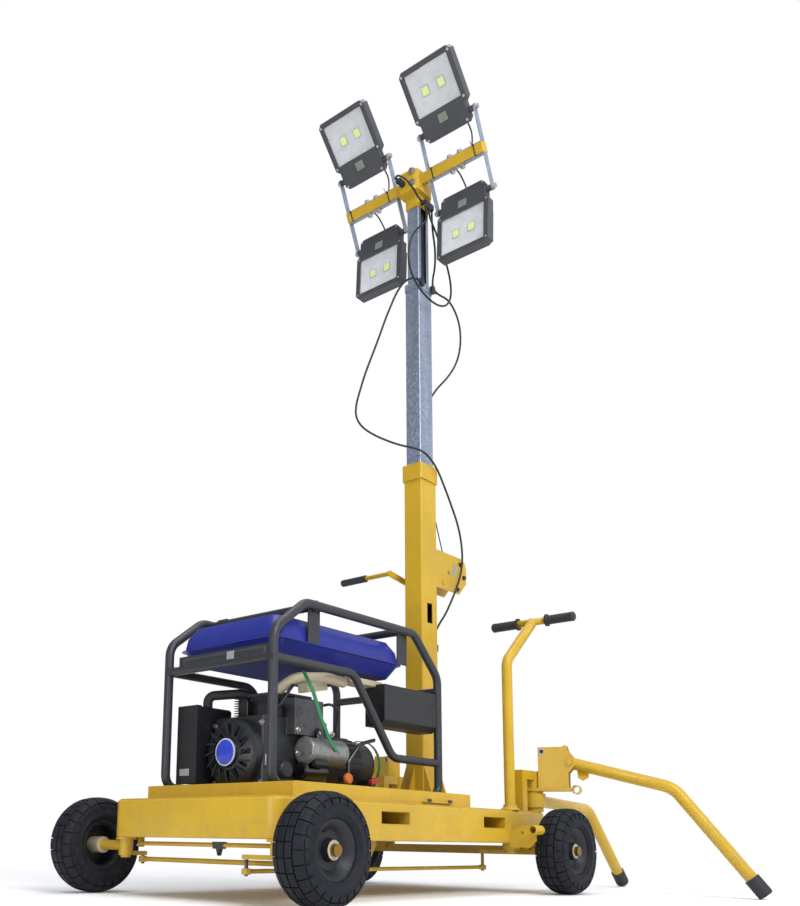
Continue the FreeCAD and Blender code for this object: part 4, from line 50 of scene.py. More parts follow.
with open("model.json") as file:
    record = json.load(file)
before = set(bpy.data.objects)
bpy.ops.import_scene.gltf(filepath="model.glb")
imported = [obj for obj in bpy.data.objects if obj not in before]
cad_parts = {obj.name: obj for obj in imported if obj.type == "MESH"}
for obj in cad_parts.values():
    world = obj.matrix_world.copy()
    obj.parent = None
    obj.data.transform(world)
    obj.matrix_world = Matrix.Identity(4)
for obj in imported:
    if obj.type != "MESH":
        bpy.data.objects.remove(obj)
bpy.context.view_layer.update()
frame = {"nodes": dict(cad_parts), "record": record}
BODIES = {node: body for body, nodes in frame["record"]["behaviour"]["bodies"].items() for node in nodes}
MM = 0.001

# Places are written in millimetres from the middle of the wheelbase, the floor and the centre line
MIDDLE_X = (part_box("tyre_front_near")[0].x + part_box("tyre_rear_near")[1].x) / 2
X, Y, Z = Vector((1, 0, 0)), Vector((0, 1, 0)), Vector((0, 0, 1))


def at(x, y, z):
    """Point of the machine, in metres, from millimetres."""
    return Vector((MIDDLE_X + x * MM, y * MM, z * MM))


def linear(code):
    """Linear colour of an sRGB hex value."""
    channels = [int(code[i:i + 2], 16) / 255 for i in (1, 3, 5)]
    return tuple(c / 12.92 if c <= 0.04045 else ((c + 0.055) / 1.055) ** 2.4 for c in channels)


# Settings that a user would change
def colour(name, code):
    """Colour setting with its default."""
    return FloatVectorProperty(name=name, description=name + " colour", subtype="COLOR", default=linear(code),
                               min=0, max=1)


class TowerColours(PropertyGroup):
    """Paint and plastic colours."""

    yellow: colour("Enamel", "#C6A028")
    tank: colour("Tank", "#242D84")
    tube: colour("Generator tube", "#2B2D33")
    lamp: colour("Floodlight", "#404146")
    tyre: colour("Tyre", "#12141C")
    led: colour("Light chip", "#E6EE7A")


class TowerSizes(PropertyGroup):
    """Sizes of the small parts."""

    tread_pitches: IntProperty(name="Tread pitches", description="Blocks round a tyre", default=24, min=12, max=40)
    tread_depth: FloatProperty(name="Tread depth", description="Height of a block", default=0.006, min=0.001,
                               unit="LENGTH")
    lamp_fins: IntProperty(name="Lamp fins", description="Cooling fins behind a floodlight", default=13, min=5, max=25)
    cylinder_fins: IntProperty(name="Cylinder fins", description="Cooling fins of the engine", default=9, min=4, max=16)
    louvres: IntProperty(name="Louvres", description="Air slots round the fan cover", default=16, min=8, max=32)
    edge: FloatProperty(name="Edge", description="Softness of a pressed or cut edge", default=0.0012, min=0,
                        unit="LENGTH")


# Node trees
def feed(tree, node, inputs):
    """Gives each input of a node its value, or the socket that feeds it."""
    for key, value in inputs.items():
        if isinstance(value, bpy.types.NodeSocket):
            tree.links.new(value, node.inputs[key])
        else:
            node.inputs[key].default_value = value


def add(tree, kind, inputs=None, **settings):
    """Node with its settings and its inputs fed."""
    made = tree.nodes.new(kind)
    for key, value in settings.items():
        setattr(made, key, value)
    feed(tree, made, inputs or {})
    return made


def opaque(colour):
    """Colour with full alpha."""
    return (*colour[:3], 1)


class Look:
    """Material while it is made, over the Object coordinates; lengths are in metres."""

    def __init__(self, name):
        self.material = bpy.data.materials.new(name)
        self.material.use_nodes = True
        self.tree = self.material.node_tree
        self.tree.nodes.clear()
        self.shader = add(self.tree, "ShaderNodeBsdfPrincipled")
        self.out = add(self.tree, "ShaderNodeOutputMaterial", {"Surface": self.shader.outputs[0]})
        self.place = add(self.tree, "ShaderNodeTexCoord").outputs["Object"]

    def drift(self, size, detail=3.0, rough=0.5, low=0.0, high=1.0, start=0.0, end=1.0):
        """Number that runs from low to high as noise with cells of a size runs from start to end."""
        cells = add(self.tree, "ShaderNodeTexNoise", {"Vector": self.place, "Scale": 1 / size, "Detail": detail,
                                                      "Roughness": rough}).outputs["Fac"]
        return add(self.tree, "ShaderNodeMapRange", {"Value": cells, "From Min": start, "From Max": end,
                                                     "To Min": low, "To Max": high}).outputs[0]

    def clouded(self, colour, size, detail=3.0):
        """Colour a little darker or lighter in clouds of a size."""
        clouds = self.drift(size, detail, low=0.88, high=1.08, start=0.3, end=0.7)
        return add(self.tree, "ShaderNodeVectorMath", {0: tuple(colour[:3]), "Scale": clouds},
                   operation="SCALE").outputs[0]

    def covered(self, base, colour, share, most):
        """Base with a colour over it, by a part at most, where the share is full."""
        cover = add(self.tree, "ShaderNodeMapRange", {"Value": share, "To Max": most}).outputs[0]
        return add(self.tree, "ShaderNodeMix", {"Factor": cover, 6: base, 7: opaque(colour)},
                   data_type="RGBA").outputs[2]

    def floor_dust(self, top):
        """Share of dust, full at the floor and gone at the top height, in patches."""
        height = add(self.tree, "ShaderNodeSeparateXYZ", {0: self.place}).outputs["Z"]
        fall = add(self.tree, "ShaderNodeMapRange", {"Value": height, "From Max": top, "To Min": 1.0,
                                                     "To Max": 0.0}).outputs[0]
        return add(self.tree, "ShaderNodeMath", {0: fall, 1: self.drift(0.05, 5.0, 0.65, start=0.38, end=0.72)},
                   operation="MULTIPLY", use_clamp=True).outputs[0]

    def grain(self, size, detail, depth, strength):
        """Normal of a fine grain of a real size and depth."""
        cells = add(self.tree, "ShaderNodeTexNoise", {"Vector": self.place, "Scale": 1 / size,
                                                      "Detail": detail}).outputs["Fac"]
        return add(self.tree, "ShaderNodeBump", {"Height": cells, "Distance": depth, "Strength": strength}).outputs[0]

    def finished(self, inputs):
        """The material, with the inputs of its shader fed."""
        feed(self.tree, self.shader, inputs)
        return self.material


DUST = linear("#8C8273")


def enamel(name, paint, roughness, coat, dusty):
    """Sprayed gloss enamel: clear reflections broken by orange peel, tone that drifts over the panel, rubbed
    duller patches, and dust on the low parts. Real orange peel is 2 mm wide, too fine to show, so it is 9 mm."""
    look = Look(name)
    rubbed = look.drift(0.04, 3.0, 0.6, start=0.52, end=0.78)
    base = look.covered(look.clouded(paint, 0.35), [c * 0.55 for c in paint], rubbed, 0.16)
    if dusty:
        base = look.covered(base, DUST, look.floor_dust(0.42), 0.4)
    duller = add(look.tree, "ShaderNodeMapRange", {"Value": rubbed, "To Min": roughness, "To Max": roughness + 0.22})
    return look.finished({"Base Color": base, "Roughness": duller.outputs[0], "Coat Weight": coat,
                          "Coat Roughness": 0.12, "Specular IOR Level": 0.25,
                          "Normal": look.grain(0.009, 1.0, 0.00008, 0.25)})


def powder_coat(name, paint, roughness, wear=0.35):
    """Baked powder coat: fine 1 mm texture, soft sheen and a slightly cloudy tone."""
    look = Look(name)
    worn = look.drift(0.018, 6.0, 0.75, start=0.62, end=0.8)
    return look.finished({"Base Color": look.covered(look.clouded(paint, 0.12, 4.0), linear("#8E9199"), worn, wear),
                          "Roughness": look.drift(0.02, low=roughness - 0.08, high=roughness + 0.1),
                          "Normal": look.grain(0.0011, 3.0, 0.00008, 0.6)})


def moulded_plastic(name, paint, roughness):
    """Moulded ABS with a spark-eroded grain of about 0.8 mm and faint handling marks."""
    look = Look(name)
    return look.finished({"Base Color": look.clouded(paint, 0.08), "IOR": 1.5,
                          "Roughness": look.drift(0.015, 5.0, low=roughness - 0.06, high=roughness + 0.12),
                          "Normal": look.grain(0.0008, 2.0, 0.00006, 0.7)})


def tyre_rubber(name, paint):
    """Carbon-filled tyre rubber: dull, faintly blue-grey, with dust in the low relief."""
    look = Look(name)
    dust = look.drift(0.022, 6.0, 0.7, start=0.45, end=0.8)
    duller = add(look.tree, "ShaderNodeMapRange", {"Value": dust, "To Min": 0.6, "To Max": 0.85}).outputs[0]
    return look.finished({"Base Color": look.covered(look.clouded(paint, 0.06), linear("#5E5E60"), dust, 0.16),
                          "Roughness": duller, "Specular IOR Level": 0.25,
                          "Normal": look.grain(0.0015, 4.0, 0.00015, 0.6)})


def soft_rubber(name, paint):
    """Moulded grip and foot rubber, matt with a soft edge light."""
    look = Look(name)
    return look.finished({"Base Color": look.clouded(paint, 0.03),
                          "Roughness": look.drift(0.012, 5.0, low=0.5, high=0.72),
                          "Normal": look.grain(0.0012, 3.0, 0.0001, 0.5)})


def galvanised_steel(name):
    """Hot-dip galvanised sheet: grey-blue metal with a spangle of about 9 mm crystals and dull streaks."""
    look = Look(name)
    tree = look.tree
    crystals = add(tree, "ShaderNodeTexVoronoi", {"Vector": look.place, "Scale": 1 / 0.009, "Randomness": 1.0})
    tone = add(tree, "ShaderNodeSeparateColor", {0: crystals.outputs["Color"]}).outputs[0]
    spangle = add(tree, "ShaderNodeValToRGB", {"Fac": tone})
    elements = spangle.color_ramp.elements
    elements.new(0.5)
    for element, stop, code in zip(elements, (0.0, 0.55, 1.0), ("#8F98AB", "#9AA4B8", "#A7B1C6")):
        element.position = stop
        element.color = opaque(linear(code))
    drawn_out = add(tree, "ShaderNodeMapping", {"Vector": look.place, "Scale": (30.0, 30.0, 1.6)}).outputs[0]
    streaks = add(tree, "ShaderNodeTexNoise", {"Vector": drawn_out, "Scale": 1.0, "Detail": 3.0}).outputs["Fac"]
    dull = add(tree, "ShaderNodeMapRange", {"Value": streaks, "From Min": 0.42, "From Max": 0.7}).outputs[0]
    gloss = add(tree, "ShaderNodeMapRange", {"Value": tone, "To Min": 0.36, "To Max": 0.56}).outputs[0]
    edges = add(tree, "ShaderNodeBump", {"Height": tone, "Distance": 0.00005, "Strength": 0.4}).outputs[0]
    return look.finished({"Base Color": look.covered(spangle.outputs["Color"], linear("#777C86"), dull, 0.4),
                          "Metallic": 0.75, "Roughness": gloss, "Normal": edges})


def zinc_plate(name, tint):
    """Zinc-plated steel, fairly bright, with a faint passivation tint and 3 mm clouding."""
    look = Look(name)
    return look.finished({"Base Color": look.clouded(tint, 0.01, 4.0), "Metallic": 1.0,
                          "Roughness": look.drift(0.003, low=0.24, high=0.42)})


def cast_aluminium(name, tint):
    """Sand-cast aluminium: grey, grainy at about 1.5 mm, with dark grime in patches."""
    look = Look(name)
    grime = look.drift(0.02, 6.0, 0.7, start=0.5, end=0.75)
    duller = add(look.tree, "ShaderNodeMapRange", {"Value": grime, "To Min": 0.42, "To Max": 0.7}).outputs[0]
    return look.finished({"Base Color": look.covered(look.clouded(tint, 0.05), linear("#2A2A2A"), grime, 0.55),
                          "Metallic": 0.8, "Roughness": duller, "Normal": look.grain(0.0015, 4.0, 0.0002, 0.6)})


def plain_finish(name, tint, roughness, metallic=0.0, grain=0.002):
    """Small painted or moulded part with a fine grain of the given size."""
    look = Look(name)
    return look.finished({"Base Color": look.clouded(tint, 0.03), "Metallic": metallic,
                          "Roughness": look.drift(0.01, low=roughness - 0.06, high=roughness + 0.08),
                          "Normal": look.grain(grain, 3.0, 0.00008, 0.4)})


def light_chip(name, tint):
    """Phosphor over a light chip: warm yellow squares of about 4 mm dies that glow faintly when unlit."""
    look = Look(name)
    dies = add(look.tree, "ShaderNodeTexVoronoi", {"Vector": look.place, "Scale": 1 / 0.004, "Randomness": 0.0},
               distance="CHEBYCHEV").outputs["Distance"]
    tone = add(look.tree, "ShaderNodeMapRange", {"Value": dies, "From Min": 0.2, "From Max": 0.5, "To Min": 1.0,
                                                 "To Max": 0.72}).outputs[0]
    base = add(look.tree, "ShaderNodeVectorMath", {0: tuple(tint[:3]), "Scale": tone}, operation="SCALE").outputs[0]
    return look.finished({"Base Color": base, "Emission Color": opaque(tint), "Emission Strength": 0.25,
                          "Roughness": 0.35})


def tempered_glass(name):
    """Thin clear pane: almost unseen but for its gloss."""
    look = Look(name)
    return look.finished({"Base Color": opaque(linear("#E8ECEC")), "Alpha": 0.14,
                          "Roughness": look.drift(0.04, low=0.03, high=0.09)})


def studio_floor(name, near, far):
    """Matt pale floor that keeps the shadow near the machine and fades into the white surroundings beyond it."""
    look = Look(name)
    tree = look.tree
    reach = add(tree, "ShaderNodeVectorMath", {0: look.place, 1: tuple(at(0, 0, 0))}, operation="DISTANCE")
    fade = add(tree, "ShaderNodeMapRange", {"Value": reach.outputs["Value"], "From Min": near, "From Max": far},
               interpolation_type="SMOOTHSTEP").outputs[0]
    ray = add(tree, "ShaderNodeLightPath").outputs
    seen = ray["Is Camera Ray"]
    for kind in ("Is Glossy Ray", "Is Transmission Ray"):
        seen = add(tree, "ShaderNodeMath", {0: seen, 1: ray[kind]}, operation="MAXIMUM").outputs[0]
    share = add(tree, "ShaderNodeMath", {0: seen, 1: fade}, operation="MULTIPLY").outputs[0]
    white = add(tree, "ShaderNodeEmission", {"Color": (1, 1, 1, 1), "Strength": 1.0}).outputs[0]
    both = add(tree, "ShaderNodeMixShader", {0: share, 1: look.shader.outputs[0], 2: white}).outputs[0]
    feed(tree, look.out, {"Surface": both})
    return look.finished({"Base Color": opaque(linear("#FAFAFA")), "Roughness": 0.9, "Specular IOR Level": 0.1})


FINISHES = {}


def make_finishes(colours):
    """Every finish of the machine, by a short name."""
    FINISHES.update({
        "yellow": enamel("sprayed_yellow_enamel", colours.yellow, 0.36, 0.2, True),
        "yellow_high": enamel("sprayed_yellow_enamel_upper", colours.yellow, 0.36, 0.2, False),
        "tank": enamel("blue_stoved_enamel", colours.tank, 0.38, 0.1, False),
        # Matt underside of the tank at 0.7 of its blue: the matt finish is real, the darker blue is painted shade under
        # the tank
        "tank_underside_shade": plain_finish("matt_blue_underside_with_painted_shade", tuple(c * 0.7 for c in colours.tank), 0.9, 0.0, 0.004),
        "tube": powder_coat("satin_black_powder_coat", colours.tube, 0.42),
        "lamp": powder_coat("grey_powder_coated_die_casting", colours.lamp, 0.5),
        "rim": powder_coat("dark_painted_pressed_steel", linear("#11141D"), 0.5, 0.1),
        "black": moulded_plastic("black_moulded_abs", linear("#1B1C20"), 0.42),
        "shroud": moulded_plastic("black_stoved_sheet", linear("#222428"), 0.36),
        "pale_plastic": moulded_plastic("pale_grey_moulded_nylon", linear("#B3A88F"), 0.5),
        "tyre": tyre_rubber("carbon_filled_tyre_rubber", colours.tyre),
        "rubber": soft_rubber("moulded_black_rubber", linear("#232529")),
        "cable": soft_rubber("black_pvc_cable_sheath", linear("#1A1B1E")),
        "galvanised": galvanised_steel("hot_dip_galvanised_steel"),
        "zinc": zinc_plate("zinc_plated_steel", linear("#B9B7AE")),
        "dark_steel": zinc_plate("oiled_dark_steel", linear("#5D5B58")),
        "casting": cast_aluminium("sand_cast_aluminium", linear("#5E5F62")),
        "muffler": cast_aluminium("heat_dulled_aluminised_steel", linear("#9B9C9A")),
        "tray": plain_finish("satin_white_reflector", linear("#D4D5D8"), 0.4, 0.0, 0.004),
        "chip": light_chip("phosphor_light_chip", colours.led),
        "glass": tempered_glass("clear_tempered_glass"),
        "sensor": plain_finish("smoked_grey_window", linear("#7E8378"), 0.35),
        "label": plain_finish("blank_silver_foil", linear("#A9ACAF"), 0.35, 0.4),
        "disc": plain_finish("blue_glossy_disc", linear("#2F45C8"), 0.2),
        "ring": plain_finish("pale_disc_rim", linear("#C9CFDD"), 0.3),
        "green": plain_finish("green_painted_steel", linear("#1F7A4B"), 0.4),
        "orange": plain_finish("orange_moulded_cap", linear("#D06A20"), 0.4),
        "red": plain_finish("red_moulded_lever", linear("#B53328"), 0.4),
        # Dull brass; on the fork pocket its brown is painted shade
        "brass_and_pocket_shade": plain_finish("dull_brass_and_pocket_shade", linear("#8E6F3A"), 0.35, 0.9),
        "floor": studio_floor("pale_studio_floor", 1.3, 3.4),
    })


FULL_TURN = 2 * math.pi
# Angle above which two faces meet in a crease, and above which their edge is softened
CREASE, SOFTENED = math.radians(32), math.radians(40)
# Angle within which the triangles of a flat CAD face are merged, and the gap within which its points are
FLAT, MERGE = math.radians(0.8), 0.00002
# Turn between two points of an arc, and the least turn that gets an arc
ARC_STEP, LEAST_TURN = math.radians(12), 0.001


def square_to(axis):
    """Two unit directions square to an axis."""
    other = X if abs(axis.x) < 0.9 else Y
    first = axis.cross(other).normalized()
    return first, axis.cross(first).normalized()


def millimetres(place):
    """Millimetres of the machine from a point in metres."""
    return Vector(((place.x - MIDDLE_X) / MM, place.y / MM, place.z / MM))


def sector(centre, radius, turn, along):
    """Point at a radius and a turn from straight up round a line through a centre, across the machine."""
    return at(centre[0] + radius * math.sin(turn), centre[1] + along, centre[2] + radius * math.cos(turn))


def ring_round(middle, first, second, radius, steps):
    """Ring round a middle in the plane of two unit directions; the radius is in millimetres."""
    turns = [FULL_TURN * i / steps for i in range(steps)]
    return [middle + (first * math.cos(a) + second * math.sin(a)) * radius * MM for a in turns]


def filleted(points, radius):
    """Corner points, in metres, joined by straight runs and arcs."""
    path = [points[0]]
    for before, corner, after in zip(points, points[1:], points[2:]):
        way_in, way_out = (corner - before).normalized(), (after - corner).normalized()
        turn = way_in.angle(way_out)
        if turn < LEAST_TURN:
            continue
        reach = min(radius * math.tan(turn / 2), 0.48 * (corner - before).length, 0.48 * (after - corner).length)
        true_radius = reach / math.tan(turn / 2)
        start = corner - way_in * reach
        inward = (way_out - way_in * way_in.dot(way_out)).normalized()
        centre = start + inward * true_radius
        count = max(2, math.ceil(turn / ARC_STEP))
        for i in range(count + 1):
            part = turn * i / count
            path.append(centre + (way_in * math.sin(part) - inward * math.cos(part)) * true_radius)
    path.append(points[-1])
    return path


class Form:
    """Mesh of one piece while it is made; each shape takes the finish that is named with it."""

    def __init__(self):
        self.bm = bmesh.new()
        self.finishes = []

    def paint(self, faces, finish):
        """Gives faces a finish."""
        if finish not in self.finishes:
            self.finishes.append(finish)
        for face in faces:
            face.material_index = self.finishes.index(finish)

    def cad(self, node, finish):
        """Copy of a CAD node with its triangles merged into plain faces."""
        copy = bmesh.new()
        copy.from_mesh(frame["nodes"][node].data)
        bmesh.ops.remove_doubles(copy, verts=copy.verts, dist=MERGE)
        bmesh.ops.dissolve_limit(copy, angle_limit=FLAT, verts=copy.verts, edges=copy.edges)
        mesh = bpy.data.meshes.new(node)
        copy.to_mesh(mesh)
        copy.free()
        return self.add(mesh, finish)

    def repaint(self, faces, finish, test):
        """Gives another finish to the faces whose middle, in millimetres, passes a test."""
        self.paint([face for face in faces if test(millimetres(face.calc_center_median()))], finish)

    def add(self, mesh, finish):
        """Takes in a made mesh and removes it."""
        known = len(self.bm.faces)
        self.bm.from_mesh(mesh)
        self.bm.faces.ensure_lookup_table()
        made = self.bm.faces[known:]
        self.paint(made, finish)
        bpy.data.meshes.remove(mesh)
        return made

    def skin(self, rings, finish, closed=False):
        """Faces between rings of points, with ends unless it closes on itself; a ring of one point is a pole."""
        made = [[self.bm.verts.new(p) for p in ring] for ring in rings]
        pairs = list(zip(made, made[1:])) + ([(made[-1], made[0])] if closed else [])
        faces = []
        for low, high in pairs:
            count = max(len(low), len(high))
            for i in range(count):
                j = (i + 1) % count
                corners = [low[i % len(low)], low[j % len(low)], high[j % len(high)], high[i % len(high)]]
                faces.append(self.bm.faces.new(dict.fromkeys(corners)))
        if not closed:
            for ring, turned in ((made[0], True), (made[-1], False)):
                if len(ring) > 2:
                    faces.append(self.bm.faces.new(list(reversed(ring)) if turned else ring))
        bmesh.ops.recalc_face_normals(self.bm, faces=faces)
        self.paint(faces, finish)

    def block(self, centre, size, finish, turn=None):
        """Box about a centre, in millimetres along the turned axes."""
        turn = turn or Matrix.Identity(3)
        half = Vector(size) * MM / 2
        rings = [[at(*centre) + turn @ Vector((half.x * i, half.y * j, half.z * k))
                  for i, j in ((-1, -1), (1, -1), (1, 1), (-1, 1))] for k in (-1, 1)]
        self.skin(rings, finish)

    def lathe(self, profile, centre, axis, finish, steps=48, closed=False):
        """Profile of (along, radius) points turned round an axis through a centre."""
        axis = axis.normalized()
        first, second = square_to(axis)
        rings = []
        for along, radius in profile:
            middle = at(*centre) + axis * along * MM
            rings.append(ring_round(middle, first, second, radius, steps) if radius > 0 else [middle])
        self.skin(rings, finish, closed)

    def tube(self, points, radius, finish, bend=0.0, steps=20):
        """Round bar along corner points with bends of one radius."""
        path = [at(*p) for p in points]
        path = filleted(path, bend * MM) if bend else path
        side = square_to((path[1] - path[0]).normalized())[0]
        rings = []
        for i, p in enumerate(path):
            along = (path[min(i + 1, len(path) - 1)] - path[max(i - 1, 0)]).normalized()
            side = (side - along * side.dot(along)).normalized()
            rings.append(ring_round(p, side, along.cross(side), radius, steps))
        self.skin(rings, finish)

    def mesh(self, name):
        """Plain mesh of what was made."""
        mesh = bpy.data.meshes.new(name)
        self.bm.to_mesh(mesh)
        self.bm.free()
        for finish in self.finishes:
            mesh.materials.append(FINISHES[finish])
        mesh.shade_smooth()
        mesh.set_sharp_from_angle(angle=CREASE)
        return mesh

    def piece(self, name, body, stands_for=(), edge=None):
        """Finished piece that rides on a body."""
        made = bpy.data.objects.new(name, self.mesh(name))
        bpy.context.scene.collection.objects.link(made)
        if edge:
            bevel = made.modifiers.new("softened edges", "BEVEL")
            bevel.width = edge
            bevel.segments = 2
            bevel.limit_method = "ANGLE"
            bevel.angle_limit = SOFTENED
            bevel.harden_normals = True
        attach(made, body)
        if stands_for:
            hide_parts(*stands_for)


def dressed(node, finish, edge=None, ending="painted", *marks):
    """A CAD node in its finish, with softened edges; a mark is another finish and the test of where it goes."""
    form = Form()
    faces = form.cad(node, finish)
    for other, test in marks:
        form.repaint(faces, other, test)
    form.piece(node + "_" + ending, BODIES[node], (node,), edge)


def grip_ribs(count, start, pitch, places, crest, root):
    """Profile of the ribs round a grip: each rises, falls and rises at its places along the pitch."""
    return [(start + pitch * i + along, radius) for i in range(count)
            for along, radius in zip(places, (crest, root, root, crest))]


# Geometry node trees
def new_tree(name, sockets):
    """Geometry tree whose inputs are named, with what it is given and where its result goes."""
    tree = bpy.data.node_groups.new(name, "GeometryNodeTree")
    face = tree.interface
    face.new_socket("Geometry", in_out="OUTPUT", socket_type="NodeSocketGeometry")
    face.new_socket("Geometry", in_out="INPUT", socket_type="NodeSocketGeometry")
    for label, kind in sockets:
        face.new_socket(label, in_out="INPUT", socket_type="NodeSocket" + kind)
    return tree, tree.nodes.new("NodeGroupInput").outputs, tree.nodes.new("NodeGroupOutput").inputs


def finish_tree(tree, instances, given, result):
    """Ends a tree: instances made real, in one finish."""
    solid = add(tree, "GeometryNodeRealizeInstances", {"Geometry": instances}).outputs[0]
    done = add(tree, "GeometryNodeSetMaterial", {"Geometry": solid, "Material": given["Finish"]}).outputs[0]
    tree.links.new(done, result["Geometry"])
    return tree


def copies_tree():
    """Copies of a shape, each moved on by a step and turned by an angle round an axis through a centre."""
    tree, given, result = new_tree("evenly spaced copies", (
        ("Count", "Int"), ("Step", "Vector"), ("Angle", "Float"), ("Axis", "Vector"), ("Centre", "Vector"),
        ("Finish", "Material")))
    line = add(tree, "GeometryNodeMeshLine", {"Count": given["Count"], "Offset": (0, 0, 0)}).outputs[0]
    index = add(tree, "GeometryNodeInputIndex").outputs[0]
    angle = add(tree, "ShaderNodeMath", {0: index, 1: given["Angle"]}, operation="MULTIPLY").outputs[0]
    turn = add(tree, "FunctionNodeAxisAngleToRotation", {"Axis": given["Axis"], "Angle": angle}).outputs[0]
    swung = add(tree, "FunctionNodeRotateVector", {"Vector": given["Centre"], "Rotation": turn}).outputs[0]
    stepped = add(tree, "ShaderNodeVectorMath", {0: given["Step"], "Scale": index}, operation="SCALE").outputs[0]
    moved = add(tree, "ShaderNodeVectorMath", {0: given["Centre"], 1: swung}, operation="SUBTRACT").outputs[0]
    place = add(tree, "ShaderNodeVectorMath", {0: moved, 1: stepped}, operation="ADD").outputs[0]
    points = add(tree, "GeometryNodeSetPosition", {"Geometry": line, "Position": place}).outputs[0]
    copies = add(tree, "GeometryNodeInstanceOnPoints", {"Points": points, "Instance": given["Geometry"],
                                                        "Rotation": turn}).outputs[0]
    return finish_tree(tree, copies, given, result)


def bolts_tree():
    """Hexagon heads on round washers, one on each point, facing the way that the point's attribute gives."""
    tree, given, result = new_tree("bolt heads", (
        ("Across", "Float"), ("Height", "Float"), ("Washer", "Float"), ("Finish", "Material")))
    radius = add(tree, "ShaderNodeMath", {0: given["Across"], 1: 0.577}, operation="MULTIPLY").outputs[0]
    head = add(tree, "GeometryNodeMeshCylinder", {"Vertices": 6, "Radius": radius, "Depth": given["Height"]}).outputs[0]
    lift = add(tree, "ShaderNodeMath", {0: given["Height"], 1: 0.5, 2: given["Washer"]},
               operation="MULTIPLY_ADD").outputs[0]
    rise = add(tree, "ShaderNodeCombineXYZ", {"Z": lift}).outputs[0]
    head = add(tree, "GeometryNodeTransform", {"Geometry": head, "Translation": rise}).outputs[0]
    wide = add(tree, "ShaderNodeMath", {0: given["Across"], 1: 0.85}, operation="MULTIPLY").outputs[0]
    washer = add(tree, "GeometryNodeMeshCylinder", {"Vertices": 20, "Radius": wide,
                                                    "Depth": given["Washer"]}).outputs[0]
    rise = add(tree, "ShaderNodeCombineXYZ", {"Z": add(tree, "ShaderNodeMath", {0: given["Washer"], 1: 0.5},
                                                       operation="MULTIPLY").outputs[0]}).outputs[0]
    washer = add(tree, "GeometryNodeTransform", {"Geometry": washer, "Translation": rise}).outputs[0]
    both = tree.nodes.new("GeometryNodeJoinGeometry")
    tree.links.new(head, both.inputs[0])
    tree.links.new(washer, both.inputs[0])
    facing = add(tree, "GeometryNodeInputNamedAttribute", {"Name": "facing"}, data_type="FLOAT_VECTOR").outputs[0]
    turn = add(tree, "FunctionNodeAlignRotationToVector", {"Vector": facing}, axis="Z").outputs[0]
    heads = add(tree, "GeometryNodeInstanceOnPoints", {"Points": given["Geometry"], "Instance": both.outputs[0],
                                                       "Rotation": turn}).outputs[0]
    return finish_tree(tree, heads, given, result)


TREES = {}


def plain_mesh(data, tree=None, inputs=None):
    """Plain mesh of a curve or a mesh, after a tree with its inputs when one is given."""
    holder = bpy.data.objects.new(data.name, data)
    bpy.context.scene.collection.objects.link(holder)
    if tree:
        modifier = holder.modifiers.new("grow", "NODES")
        modifier.node_group = tree
        for socket in tree.interface.items_tree:
            if socket.in_out == "INPUT" and socket.name in inputs:
                modifier[socket.identifier] = inputs[socket.name]
    bpy.context.view_layer.update()
    made = bpy.data.meshes.new_from_object(holder.evaluated_get(bpy.context.evaluated_depsgraph_get()))
    bpy.data.objects.remove(holder)
    return made


def grown(form, mesh, tree, inputs, finish):
    """Adds to a form what a tree makes from a mesh, which it uses up."""
    form.add(plain_mesh(mesh, TREES[tree], {**inputs, "Finish": FINISHES[finish]}), finish)
    bpy.data.meshes.remove(mesh)


def copies(form, template, finish, count, step=(0, 0, 0), angle=0.0, axis=Z, centre=(0, 0, 0)):
    """Adds evenly spaced copies of a template to a form; the step and the centre are in millimetres."""
    grown(form, template.mesh("template"), "copies", {
        "Count": count, "Step": [v * MM for v in step], "Angle": angle, "Axis": list(axis),
        "Centre": list(at(*centre))}, finish)


def bolts(form, rows, finish, across, height=None, washer=2.0):
    """Adds bolt heads to a form, from rows of a place in millimetres and the way that it faces."""
    mesh = bpy.data.meshes.new("bolt places")
    mesh.from_pydata([at(*place) for place, facing in rows], [], [])
    store = mesh.attributes.new("facing", "FLOAT_VECTOR", "POINT")
    for item, (place, facing) in zip(store.data, rows):
        item.vector = facing
    grown(form, mesh, "bolts", {
        "Across": across * MM, "Height": (height or across * 0.6) * MM, "Washer": washer * MM}, finish)


# Cables
CABLE = 9.0
# Points of each route, in millimetres, in the order in which the cable leaves the machine and goes back into it
MAST_CABLE = (
    (-595, 15, 1030), (-595, 15, 1068), (-600, 34, 1112.1), (-624, 58, 1165), (-670, 64, 1242.9),
    (-721, 64, 1323), (-755, 64, 1412), (-752, 64, 1502.1), (-724, 64, 1586.9), (-674, 64, 1661.9),
    (-618, 65, 1735), (-558, 67, 1802), (-502, 66, 1838), (-458, 57, 1858), (-433, 24, 1873.1),
    (-417, -20, 1889), (-376, -60, 1906), (-325, -99, 1928), (-280, -132, 1957.9), (-256, -150, 2003),
    (-257, -149, 2061.9), (-273, -139, 2132), (-292, -123, 2220), (-321, -107, 2309.9), (-344, -86, 2400),
    (-366, -72, 2480), (-384, -54, 2547.9), (-398, -36, 2605.9), (-410, -10, 2650), (-418, 24, 2668),
    (-439, 48, 2668), (-469, 48, 2668),
)
REAR_CABLE = (
    (-595, -14, 1690), (-595, -14, 1766), (-600, -17, 1872), (-604, -22, 1978), (-601, -18, 2080),
    (-605, -3, 2165), (-625, 28, 2220), (-663, 52, 2270), (-713, 61, 2338), (-756, 61, 2415),
    (-777, 61, 2500), (-769, 61, 2580), (-730, 60, 2638), (-676, 57, 2670), (-619, 48, 2668),
    (-577, 48, 2668),
)
LINK_CABLE = (
    (-566, 48, 2684), (-566, 48, 2722), (-580, 50, 2772), (-586, 51, 2832), (-582, 52, 2896),
    (-564, 53, 2956), (-550, 58.5, 3020), (-550, 58.5, 3058),
)
WINCH_ROPE = ((-713.7, 8, 1379.4), (-647.1, 8, 1545.2), (-580.5, 8, 1711))
